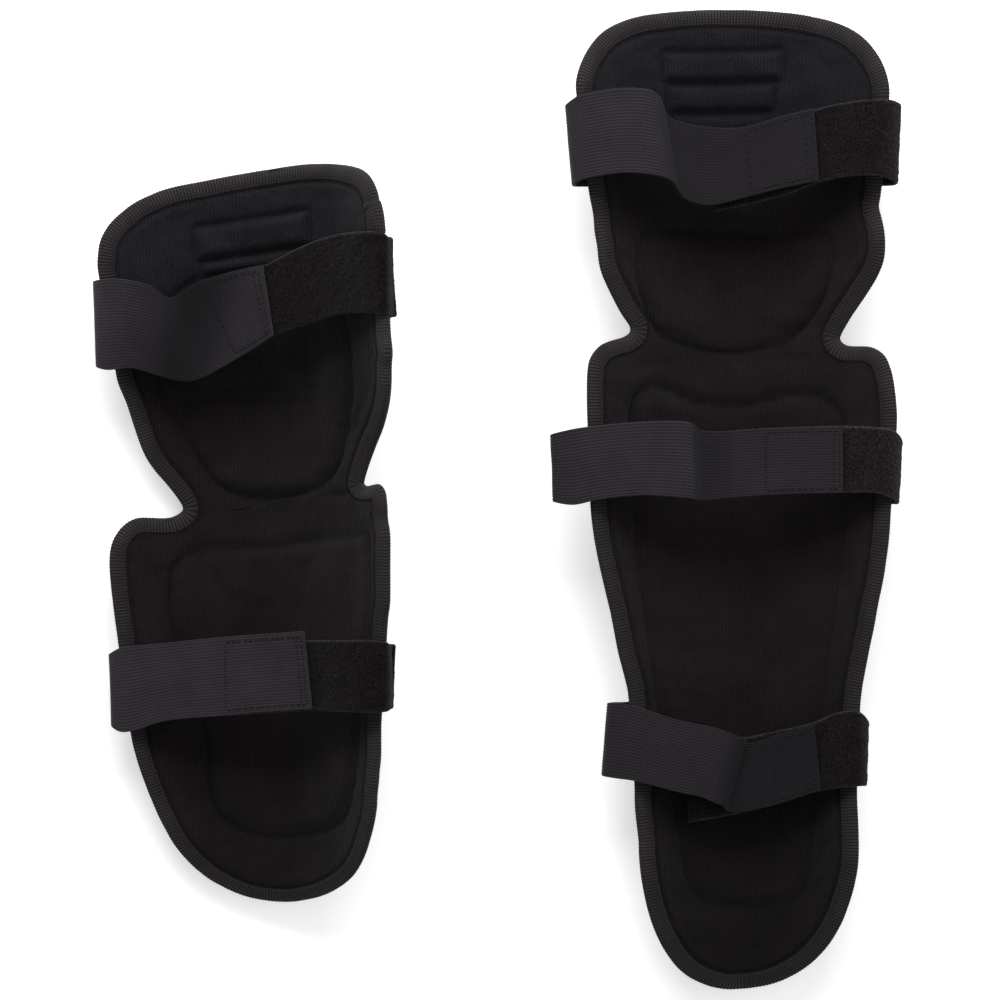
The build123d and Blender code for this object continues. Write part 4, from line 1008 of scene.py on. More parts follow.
def tape_overlap(key, near, length, body):
    """The free end of the binding lies over its start for a short way."""
    g = GUARDS[key]["g"]
    c, nrm = outline_path(key, 0.4)
    i0 = int(np.argmin(np.hypot(c[:, 0] - near[0], c[:, 1] - near[1])))
    idx = (i0 + np.arange(int(length / 0.4))) % len(c)
    c, nrm = c[idx], nrm[idx]
    s = np.arange(len(c)) * 0.4
    prof = np.array(TAPE)[1:-1]
    dn = normals2d(prof)
    mid = prof.mean(0)
    if ((prof - mid) * dn).sum() < 0:
        dn = -dn
    rings = []
    ends = smooth(np.minimum(s, s[-1] - s) / 0.9)
    for off in (0.62, 0.12):
        lift = (off - 0.12) * (0.35 + 0.65 * ends) + 0.12
        rib = 0.12 * np.cos(2 * np.pi * s / 1.6) * (off > 0.5)
        ring = np.zeros((len(c), len(prof), 3))
        bw = bind_width(key, c[:, 0], c[:, 1])
        for j in range(len(prof)):
            dd = prof[j, 0] + dn[j, 0] * (lift + rib)
            tt = prof[j, 1] * (bw if j < 5 else 1.0) + dn[j, 1] * (lift + rib)
            ring[:, j] = skin(g, c[:, 0] + nrm[:, 0] * tt, c[:, 1] + nrm[:, 1] * tt, dd)
        rings.append(ring)
    ring = np.concatenate([rings[0], rings[1][:, ::-1]], 1)
    n, m = ring.shape[:2]
    faces = list(map(tuple, grid_faces(n, m, 0, wrap_m=True)))
    k = len(prof)
    for r0 in (0, (n - 1) * m):
        for j in range(k - 1):
            faces.append((r0 + j, r0 + j + 1, r0 + m - 2 - j, r0 + m - 1 - j))
    uvt = np.concatenate([[0], np.cumsum(np.linalg.norm(np.diff(prof, axis=0), axis=1))])
    uvt = np.concatenate([uvt, uvt[::-1]])
    uv = np.stack(np.meshgrid(s + 3.0, uvt, indexing="ij"), -1).reshape(-1, 2) * 0.1
    ob = make(key + "_binding_overlap", ring.reshape(-1, 3), faces, [M_BIND], uv)
    # painted light and shade: darker toward the facing, lighter over the crest of the fold
    across = np.interp(prof[:, 1], [-6.2, -3.0, 0.5, 2.8], [0.85, 1.0, 1.15, 1.25])
    paint(ob, "tone", np.tile(np.concatenate([across, across[::-1]]), n))
    fix_normals(ob)
    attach(ob, body)
    pts, dirs, nor = [], [], []
    for i in (3, 6, n - 7, n - 4):
        for t in (-4.0, -2.4, -0.8):
            d = float(np.interp(t, prof[:7, 1], prof[:7, 0])) - 0.72
            a = skin(g, c[i, 0] + nrm[i, 0] * (t - 0.8), c[i, 1] + nrm[i, 1] * (t - 0.8), d)
            b = skin(g, c[i, 0] + nrm[i, 0] * (t + 0.8), c[i, 1] + nrm[i, 1] * (t + 0.8), d)
            up = skin(g, c[i, 0] + nrm[i, 0] * t, c[i, 1] + nrm[i, 1] * t, d - 1)
            md = (a + b) / 2
            pts.append(md)
            dirs.append((b - a) / np.linalg.norm(b - a))
            nor.append((up - md) / np.linalg.norm(up - md))
    st = stitch_mesh(key + "_overlap_stitches", pts, dirs, nor, 1.7, 0.55)
    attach(st, body)
    return ob


def stitch_mesh(name, points, dirs, norms, length, width, mat=None):
    """One little humped thread at each point."""
    ring = 6
    secs = [(-0.5, 0.15, -0.6), (-0.42, 0.75, 0.2), (-0.2, 1.0, 0.75), (0.2, 1.0, 0.75), (0.42, 0.75, 0.2), (0.5, 0.15, -0.6)]
    P, D, Nn = np.asarray(points), np.asarray(dirs), np.asarray(norms)
    S = np.cross(D, Nn)
    verts, faces, uv = [], [], []
    k = len(secs)
    for i in range(len(P)):
        base = len(verts)
        for a, wd, hh in secs:
            for r in range(ring):
                t = 2 * math.pi * r / ring
                verts.append(P[i] + D[i] * a * length + S[i] * math.cos(t) * wd * width * 0.5
                             + Nn[i] * (hh * 0.22 + math.sin(t) * wd * width * 0.4))
                uv.append((a * length * 0.1 + i * 0.37, r * 0.03))
        faces += [tuple(f) for f in grid_faces(k, ring, base, wrap_m=True)]
        faces += tube_caps(k, ring, base)
    ob = make(name, np.array(verts), faces, [mat or M_THREAD], np.array(uv))
    return fix_normals(ob)


def edge_stitches(key):
    g = GUARDS[key]["g"]
    pitch = 3.1
    pts, dirs, nor = [], [], []
    c, nrm = outline_path(key, 0.5)
    s = np.arange(len(c)) * 0.5
    for t, d in ((-4.9, 0.2), (-6.3, 7.5)):
        t0 = t
        for x in np.arange(0, s[-1] - 1, pitch):
            i = int(x / 0.5)
            j = (i + 2) % len(c)
            t = t0 * float(bind_width(key, c[i, 0], c[i, 1])) if d < 3 else t0
            a = skin(g, c[i, 0] + nrm[i, 0] * t, c[i, 1] + nrm[i, 1] * t, d)
            b = skin(g, c[j, 0] + nrm[j, 0] * t, c[j, 1] + nrm[j, 1] * t, d)
            up = skin(g, c[i, 0] + nrm[i, 0] * t, c[i, 1] + nrm[i, 1] * t, d + (-1 if d < 0 else 1))
            dv = (b - a) / np.linalg.norm(b - a)
            nv = (up - a) / np.linalg.norm(up - a)
            pts.append(a)
            dirs.append(dv)
            nor.append(nv)
    ob = stitch_mesh(key + "_binding_stitches", pts, dirs, nor, 2.2, 0.62)
    bend(ob, key)
    return ob


# ------------------------------------------------------------------ plates
def mirror(half):
    left = half[::-1].copy()
    left[:, 0] *= -1
    return np.vstack([half, left[1:-1]])


def plate(name, key, part, body, rows, cad, shapes=(), wear=None, rivets=()):
    g = GUARDS[key]["g"]
    p = catmull([(w, y) for y, w in rows], 12)
    r = R(g, p[:, 1])
    ue = np.arcsin(np.clip(p[:, 0] / (r + 7.3), 0, 0.98)) * r
    # rounded ends
    lo_y, hi_y = p[0, 1], p[-1, 1]
    half = np.vstack([[0, lo_y - 1.2], [ue[0] * 0.5, lo_y - 0.9], np.stack([ue, p[:, 1]], -1), [ue[-1] * 0.5, hi_y + 0.9], [0, hi_y + 1.2]])
    half = resample(catmull(resample(half, 6.0), 6), 1.6)
    half[:, 1] = np.maximum.accumulate(half[:, 1])
    half = half[half[:, 0] > 1.5]
    n, m = len(half), 89
    c = np.linspace(-1, 1, m)
    c = np.sign(c) * (1 - (1 - np.abs(c)) ** 1.15)
    U, V = half[:, :1] * c[None, :], np.repeat(half[:, 1:], m, 1)
    q = np.stack([U.ravel(), V.ravel()], -1)
    outline = mirror(resample(half, 5.0))
    e = np.maximum(0, -sdf(outline, q))
    lip = 2.9 * np.sqrt(np.clip(1 - (1 - np.clip((e + 0.12) / 2.6, 0, 1)) ** 2, 0, 1))
    d = 7.35 + lip
    d += 0.55 * np.exp(-((e - 4.2) / 1.5) ** 2)          # rolled bead inside the rim
    for poly, height, soft in shapes:
        d += smooth(-sdf(poly, q) / soft + 0.5) * height
    for x, y in rivets:
        ru = math.asin(x / (float(R(g, y)) + 7.3)) * float(R(g, y))
        rr = np.hypot(q[:, 0] - ru, q[:, 1] - y)
        d += -0.5 * smooth((7.2 - rr) / 1.4)             # flat seat for each rivet
    if wear:
        for x1, x2, y1, y2 in wear:
            sd = sdf(bar((x1 + x2) / 2, (y1 + y2) / 2, (x2 - x1) / 2, (y2 - y1) / 2, 0, 3.0), q)
            t = smooth(-sd / 5.0 + 0.75)
            flat = (Z0(g, q[:, 1]) + R(g, q[:, 1]) - 0.12) / np.cos(q[:, 0] / R(g, q[:, 1])) - R(g, q[:, 1])
            d = d * (1 - t) + flat * t
    out = skin(g, q[:, 0], q[:, 1], d, part)
    inn = skin(g, q[:, 0], q[:, 1], 7.1 + 0 * d, part)
    floor = 0.03
    out[:, 2] = np.maximum(out[:, 2], floor)
    inn[:, 2] = np.maximum(inn[:, 2], floor + 0.02)
    base = n * m
    faces = list(map(tuple, grid_faces(n, m, 0))) + list(map(tuple, grid_faces(n, m, base, flip=True)))

    def strip(a, b):
        for k in range(len(a) - 1):
            faces.append((a[k], a[k + 1], b[k + 1], b[k]))
    strip([i * m for i in range(n)], [base + i * m for i in range(n)])
    strip([i * m + m - 1 for i in range(n)], [base + i * m + m - 1 for i in range(n)])
    strip(list(range(m)), [base + j for j in range(m)])
    strip([(n - 1) * m + j for j in range(m)], [base + (n - 1) * m + j for j in range(m)])
    ob = make(name, np.vstack([out, inn]), faces, [M_PLATE], np.vstack([q, q]) * 0.1)
    fix_normals(ob)
    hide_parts(cad)
    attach(ob, body)
    # rivets: domed heads with a rolled lip
    vs, fs = [], []
    prof = [(0.0, 1.75), (1.2, 1.7), (2.4, 1.5), (3.5, 1.15), (4.4, 0.7), (4.85, 0.25), (4.9, -0.1), (4.7, -0.35), (2.2, -0.4), (2.15, -2.4)]
    seg = 28
    for x, y in rivets:
        rr = float(R(g, y))
        u = math.asin(x / (rr + 7.3)) * rr
        p0 = skin(g, u, y, 10.05, part)
        du = skin(g, u + 0.5, y, 10.05, part) - skin(g, u - 0.5, y, 10.05, part)
        dv = skin(g, u, y + 0.5, 10.05, part) - skin(g, u, y - 0.5, 10.05, part)
        nn = np.cross(dv, du)
        nn /= np.linalg.norm(nn)
        if nn @ (p0 - skin(g, u, y, 5.0, part)) < 0:
            nn = -nn
        a = du / np.linalg.norm(du)
        b = np.cross(nn, a)
        b0 = len(vs)
        for rad, h in prof[1:]:
            for k in range(seg):
                t = 2 * math.pi * k / seg
                vs.append(p0 + nn * (h + 0.1) + (a * math.cos(t) + b * math.sin(t)) * rad)
        fs += [tuple(f) for f in grid_faces(len(prof) - 1, seg, b0, wrap_m=True)]
        top = len(vs)
        vs.append(p0 + nn * (prof[0][1] + 0.1))
        for k in range(seg):
            fs.append((b0 + k, b0 + (k + 1) % seg, top))
        last = b0 + (len(prof) - 2) * seg
        fs.append(tuple(last + k for k in range(seg)))
    rv = make(name + "_rivets", np.array(vs), fs, [M_RIVET], np.zeros((len(vs), 2)))
    fix_normals(rv)
    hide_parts(cad.replace("_plate", "") + "_rivets")
    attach(rv, body)
    return ob


# ------------------------------------------------------------------ straps
# STRAPS_BEGIN
STRAPS = {
    "knee_top": dict(
        el=[
            ((38.2, 200.2, 50.0), (40.9, 159.0, 50.0)),
            ((44.7, 204.0, 56.0), (45.4, 161.2, 56.0)),
            ((53.3, 205.4, 60.0), (53.9, 162.5, 60.0)),
            ((64.8, 206.4, 62.5), (64.9, 163.5, 62.5)),
            ((74.2, 206.2, 62.8), (76.2, 162.9, 62.8)),
            ((81.2, 204.8, 61.6), (86.0, 160.9, 61.6)),
            ((85.4, 200.8, 57.6), (91.2, 158.0, 57.4)),
            ((86.6, 196.4, 53.4), (93.6, 154.2, 53.2)),
            ((89.6, 192.4, 50.8), (97.0, 150.6, 50.7)),
            ((98.5, 189.2, 50.0), (103.6, 148.0, 50.0)),
            ((111.0, 187.0, 50.6), (111.4, 147.2, 50.6)),
            ((126.5, 186.3, 53.5), (128.8, 150.8, 53.5)),
            ((146.6, 191.1, 57.5), (146.8, 154.7, 57.5)),
            ((162.6, 194.5, 60.0), (164.4, 157.6, 60.0)),
        ],
        tab=[
            ((206.6, 196.8, 52.5), (204.2, 156.2, 52.0)),
            ((200.3, 198.2, 59.2), (195.8, 159.2, 59.5)),
            ((183.3, 197.6, 60.5), (181.5, 159.7, 60.5)),
            ((163.9, 194.4, 56.0), (164.2, 156.9, 56.0)),
            ((147.8, 189.9, 53.5), (148.1, 151.4, 53.5)),
            ((129.8, 185.6, 49.3), (131.0, 147.5, 49.3)),
            ((111.6, 183.3, 46.3), (112.3, 144.1, 46.3)),
        ],
    ),
    "knee_mid": dict(
        el=[
            ((27.1, 32.9, 49.0), (27.4, -1.6, 49.0)),
            ((37.7, 35.2, 55.0), (36.9, -3.3, 55.0)),
            ((50.3, 36.6, 58.5), (49.5, -1.0, 58.5)),
            ((71.4, 37.9, 61.0), (72.2, 0.8, 61.0)),
            ((89.0, 38.0, 61.2), (89.4, -0.6, 61.2)),
            ((96.4, 37.2, 60.2), (97.2, -1.5, 60.2)),
            ((99.6, 35.2, 57.0), (100.4, -2.2, 57.0)),
            ((101.2, 33.6, 53.9), (102.0, -2.4, 53.9)),
            ((105.4, 32.7, 52.3), (106.2, -2.3, 52.3)),
            ((114.0, 32.5, 52.9), (114.2, -1.6, 52.9)),
            ((124.0, 33.0, 55.4), (123.6, -1.0, 55.4)),
            ((133.2, 33.4, 57.2), (132.5, -0.5, 57.2)),
            ((152.3, 33.7, 59.0), (151.5, -0.1, 59.0)),
            ((173.8, 33.7, 60.5), (173.1, -0.1, 60.5)),
        ],
        tab=[
            ((204.3, 26.6, 50.0), (201.5, -6.3, 50.0)),
            ((199.8, 31.2, 57.5), (197.1, -3.1, 57.5)),
            ((189.6, 32.9, 59.5), (188.9, -0.4, 59.5)),
            ((174.2, 33.8, 56.4), (173.5, -0.1, 56.4)),
            ((152.6, 33.8, 55.0), (151.9, -0.1, 55.0)),
            ((131.4, 33.5, 52.9), (130.7, -0.5, 52.9)),
        ],
    ),
    "knee_low": dict(
        el=[
            ((53.5, -104.9, 36.0), (49.7, -142.1, 36.0)),
            ((59.0, -104.8, 40.5), (54.6, -142.9, 40.5)),
            ((67.5, -106.8, 43.5), (65.7, -144.5, 43.5)),
            ((90.2, -114.3, 46.0), (89.4, -150.9, 46.0)),
            ((105.3, -117.6, 46.8), (98.5, -152.8, 46.8)),
            ((116.4, -121.6, 46.2), (105.8, -156.2, 46.2)),
            ((121.2, -123.7, 43.9), (110.2, -158.2, 43.9)),
            ((122.4, -125.0, 41.0), (111.6, -159.6, 41.0)),
            ((121.6, -126.2, 38.6), (111.6, -161.0, 38.6)),
            ((126.4, -126.6, 37.3), (117.6, -161.9, 37.3)),
            ((138.3, -122.9, 38.6), (133.4, -159.5, 38.6)),
            ((157.5, -117.9, 42.5), (160.4, -151.1, 42.5)),
        ],
        tab=[
            ((185.3, -116.6, 36.0), (183.7, -150.1, 36.0)),
            ((180.4, -111.3, 41.7), (181.2, -149.6, 41.7)),
            ((169.9, -111.6, 42.5), (172.6, -150.3, 42.5)),
            ((157.9, -116.6, 38.4), (160.7, -151.9, 38.4)),
            ((133.5, -122.0, 34.9), (132.7, -159.8, 34.9)),
            ((112.5, -125.7, 34.0), (112.7, -164.0, 34.0)),
            ((92.5, -128.9, 32.5), (92.8, -167.3, 32.5)),
        ],
    ),
    "elbow_top": dict(
        el=[
            ((-204.8, 116.1, 38.8), (-204.6, 72.4, 31.8)),
            ((-198.9, 116.5, 47.3), (-198.4, 70.5, 38.8)),
            ((-190.3, 116.1, 50.8), (-186.5, 71.2, 42.3)),
            ((-177.2, 113.2, 51.6), (-171.6, 66.7, 44.8)),
            ((-170.4, 109.2, 49.6), (-163.0, 64.2, 44.6)),
            ((-166.8, 106.4, 46.6), (-157.0, 63.6, 44.4)),
            ((-162.6, 107.4, 45.6), (-150.7, 65.0, 44.6)),
            ((-149.9, 113.9, 49.4), (-133.0, 73.9, 48.6)),
            ((-134.2, 118.2, 55.3), (-121.8, 80.0, 54.8)),
            ((-117.5, 121.0, 62.3), (-112.7, 85.1, 61.8)),
        ],
        tab=[
            ((-52.6, 131.6, 90.6), (-52.9, 91.8, 85.6)),
            ((-55.4, 133.8, 96.0), (-55.0, 93.0, 91.3)),
            ((-64.7, 134.9, 91.8), (-60.7, 94.0, 88.8)),
            ((-80.7, 134.2, 78.3), (-76.6, 94.7, 76.3)),
            ((-97.9, 129.3, 66.8), (-93.2, 91.0, 66.3)),
            ((-116.8, 121.2, 57.8), (-112.0, 85.3, 57.2)),
            ((-133.5, 118.2, 50.8), (-121.1, 80.2, 50.3)),
            ((-147.1, 115.0, 45.4), (-130.7, 75.5, 44.4)),
        ],
    ),
    "elbow_low": dict(
        el=[
            ((-202.3, -75.0, 22.8), (-202.0, -112.1, 22.8)),
            ((-196.5, -71.8, 28.3), (-197.4, -114.9, 28.3)),
            ((-189.5, -70.8, 31.8), (-190.4, -114.3, 31.8)),
            ((-172.6, -69.4, 37.3), (-173.4, -109.3, 37.3)),
            ((-142.8, -66.7, 45.8), (-143.6, -106.8, 45.8)),
            ((-120.5, -65.4, 52.3), (-120.3, -104.9, 52.3)),
            ((-100.4, -64.1, 58.8), (-97.1, -103.6, 58.8)),
        ],
        tab=[
            ((-57.2, -71.6, 63.6), (-57.8, -104.4, 63.2)),
            ((-59.2, -69.8, 69.4), (-59.4, -105.2, 69.3)),
            ((-67.7, -68.9, 70.8), (-67.5, -105.5, 70.8)),
            ((-82.0, -68.8, 65.3), (-81.8, -105.0, 65.3)),
            ((-99.7, -68.8, 54.4), (-96.9, -104.8, 54.4)),
            ((-120.3, -69.1, 47.8), (-120.1, -105.7, 47.8)),
            ((-140.0, -68.9, 42.2), (-140.8, -107.1, 42.2)),
        ],
    ),
}
# STRAPS_END
HOOK_FROM = {"knee_top": 3, "knee_mid": 3, "knee_low": 2, "elbow_top": 3, "elbow_low": 3}
TURN = {"knee_top": 0.24, "knee_mid": 0.20, "knee_low": 0.16, "elbow_top": 0.22, "elbow_low": 0.18}
KNEE_LOW = [(-19, 77.6), (-37, 78.3), (-60, 77.2), (-90, 75.9), (-113, 72.9), (-143, 66.8),
            (-174, 60.8), (-205, 58.0), (-235, 56.5), (-266, 55.0), (-289, 51.0), (-305, 45.2),
            (-320, 34.0), (-330.5, 18.0)]
KNEE_UP = [(20, 64.0), (31.4, 70.3), (46, 73.4), (69, 73.9), (90, 75.5), (110, 78.3),
           (128, 79.0), (144, 73.2), (153, 66.0), (161.5, 52.3), (166.5, 30.0)]
ELBOW_LOW = [(-18, 75.6), (-35, 76.2), (-65, 73.8), (-90, 70.9), (-115, 68.4), (-140, 63.5),
             (-160, 57.4), (-178, 48.0), (-191, 36.0), (-201, 19.0)]
ELBOW_UP = [(24, 60.0), (40, 66.4), (60, 71.5), (80, 75.0), (110, 77.6), (135, 76.5),
            (150, 72.0), (160, 60.0), (166, 38.0)]


def unplace(key, part, p):
    p = np.asarray(p, float)
    if key == "knee":
        return p - KNEE_AT
    q = (p - ELBOW_AT) @ E_LOW
    if part == "up":
        piv = np.array([0, 0, PIVOT_Z])
        q = (q - piv) @ E_UP + piv
    return q


def rim_angle(key, y):
    g = GUARDS[key]["g"]
    rows = (KNEE_LOW if y < 0 else KNEE_UP) if key == "knee" else (ELBOW_LOW if y < 0 else ELBOW_UP)
    rows = sorted(rows)
    w = float(pchip([a for a, _ in rows], [b for _, b in rows], y))
    r = float(R(g, y))
    return math.asin(min(0.985, w / (r + LINER_T + 0.9))) - 1.9 / r


def anchor_rows(key, part, edge, turn):
    """From the flap sewn under the rim up to the fold, as pairs of edge points."""
    g = GUARDS[key]["g"]
    ends = [unplace(key, part, p) for p in edge]
    side = 1 if ends[0][0] > 0 else -1
    rows = []
    for k, d in ((1.0, 8.7), (0.75, 9.1), (0.5, 10.0), (0.22, 10.6), (0.0, 11.0)):
        row = []
        for e in ends:
            phi = side * (rim_angle(key, e[1]) - turn * k)
            row.append(skin(g, phi * float(R(g, e[1])), e[1], d, part))
        rows.append(row)
    low = []
    for e, a in zip(ends, [unplace(key, part, p) for p in rows[-1]]):
        reach = abs(e[0] - a[0])
        q = np.array([e[0] - side * (0.6 + 0.22 * reach), e[1], min(e[2], a[2] + 6) - 5.5 - 0.15 * reach])
        low.append(place(g, q, part) if key == "elbow" else q + KNEE_AT)
    rows.append(low)
    return rows


def ribbon_frame(stations, step):
    """Smooth ribbon through pairs of edge points: far edge, near edge, normal, length so far."""
    st = np.array([[a, b] for a, b in stations], float).reshape(len(stations), 6)
    c = catmull(st, 16)
    mid = (c[:, :3] + c[:, 3:]) / 2
    s = np.concatenate([[0], np.cumsum(np.linalg.norm(np.diff(mid, axis=0), axis=1))])
    n = max(3, int(round(s[-1] / step)) + 1)
    t = np.linspace(0, s[-1], n)
    c = np.stack([np.interp(t, s, c[:, k]) for k in range(6)], -1)
    # light smoothing keeps the ends
    for _ in range(3):
        c[1:-1] = 0.25 * c[:-2] + 0.5 * c[1:-1] + 0.25 * c[2:]
    A, B = c[:, :3], c[:, 3:]
    mid = (A + B) / 2
    tan = np.gradient(mid, axis=0)
    tan /= np.linalg.norm(tan, axis=1)[:, None]
    across = A - B
    nn = np.cross(tan, across)
    nn /= np.linalg.norm(nn, axis=1)[:, None]
    return A, B, nn, tan, t


def ribbon_mesh(name, fr, thick, mats, side_fn, top_fn=None, m_top=91, edge_round=0.45, shift=0.0, uv_swap=True, bottom_fn=None):
    A, B, nn, tan, t = fr
    n = len(A)
    if not np.isscalar(thick):
        half = (np.asarray(thick) / 2)[:, None]
    else:
        half = np.full((n, 1), thick / 2)
    width = float(np.mean(np.linalg.norm(A - B, axis=1)))
    k = np.linspace(0, 1, m_top)
    T, K = np.meshgrid(t, k, indexing="ij")
    top = top_fn(T, K * width, width) if top_fn else 0 * T
    bot = bottom_fn(T, K * width, width) if bottom_fn else (top * -1 if top_fn else 0 * T)
    edge = np.minimum(K, 1 - K) * width
    rnd = np.clip(1 - edge / edge_round, 0, 1) ** 2 * 0.75
    curl = side_fn(T, K, width) if side_fn else 0 * T
    base = B[:, None, :] * (1 - K[..., None]) + A[:, None, :] * K[..., None]
    up = base + nn[:, None, :] * (shift + curl + half * (1 - rnd) + top)[..., None]
    dn = base + nn[:, None, :] * (shift + curl - half * (1 - rnd) + bot)[..., None]
    ring = np.concatenate([up, dn[:, ::-1]], 1)
    m = ring.shape[1]
    faces = list(map(tuple, grid_faces(n, m, 0, wrap_m=True)))
    caps = tube_caps(n, m, 0)
    # end caps as strips
    for r0 in (0, (n - 1) * m):
        for j in range(m_top - 1):
            a, b = r0 + j, r0 + j + 1
            c2, d2 = r0 + m - 2 - j, r0 + m - 1 - j
            faces.append((a, b, c2, d2))
    uv = np.concatenate([np.stack([K * width, T], -1), np.stack([(K * width)[:, ::-1], T[:, ::-1]], -1)], 1).reshape(-1, 2) * 0.1
    ob = make(name, ring.reshape(-1, 3), faces, mats, uv)
    return fix_normals(ob)


def rib_profile(pitch, amp):
    def f(T, W, width):
        edge = smooth(np.minimum(W, width - W) / 1.2)
        return amp * np.cos(2 * np.pi * W / pitch) * edge + 0.05 * wobble(T, W, 31, 9.0)
    return f


# painted shade and light along each elastic, along x: darker behind each fold and over the hook zone, where the arch
# shades it, lighter on the lit stretches
STRAP_PAINTED_SHADE = {
    "knee_top": ([78, 85, 89, 106, 109, 170], [1.0, 0.92, 0.52, 0.48, 0.52, 0.54]),
    "knee_mid": ([90, 97, 99.5, 116, 119, 175], [1.0, 1.0, 0.52, 0.58, 0.76, 0.76]),
    "knee_low": ([60, 90, 108, 116, 120, 158], [0.80, 0.80, 0.72, 0.40, 0.34, 0.38]),
    "elbow_top": ([-200, -192, -188, -180, -172, -168, -162, -156, -150, -146, -142, -138, -134, -130, -126, -118],
                  [1.28, 1.2, 1.0, 0.8, 0.6, 0.44, 0.24, 0.22, 0.29, 0.36, 0.46, 0.64, 0.84, 0.98, 1.08, 1.02], 0.23, 94.0),
    "elbow_low": ([-205, -158, -155, -97], [1.18, 1.08, 1.16, 1.06]),
}
# painted light and shade: one brightness for each loop tab
TAB_PAINTED_SHADE = {"knee_top": 1.05, "knee_mid": 1.5, "knee_low": 1.05, "elbow_top": 0.82, "elbow_low": 0.85}


def positions(ob):
    co = np.zeros(len(ob.data.vertices) * 3, np.float32)
    ob.data.vertices.foreach_get("co", co)
    return co.reshape(-1, 3) * 1000.0


def paint_band_shade(ob, fr, xs, ys, lean=0.0, level=0.0):
    """Painted shade and light: one value for each row across the band, so that it follows the slant of a fold, or a
    shaded hollow that leans.
    """
    if lean:
        p = positions(ob)
        paint(ob, "tone", np.interp(p[:, 0] - lean * (p[:, 1] - level), xs, ys))
        return
    n = len(fr[0])
    m = len(ob.data.vertices) // n
    mid = (fr[0][:, 0] + fr[1][:, 0]) / 2
    paint(ob, "tone", np.repeat(np.interp(mid, xs, ys), m))


def tab_tint(ob, fr, level):
    """Pile tab: painted light and shade at one level for each tab; both sides are paler than the loops."""
    n = len(fr[0])
    m = len(ob.data.vertices) // n
    width = float(np.mean(np.linalg.norm(fr[0] - fr[1], axis=1)))
    k = np.linspace(0, 1, m // 2)
    rim = np.exp(-(np.minimum(k, 1 - k) * width / 0.9) ** 2)
    row = np.concatenate([rim, rim[::-1]])
    paint(ob, "tone", np.tile(level * (1 + 2.0 * row), n))


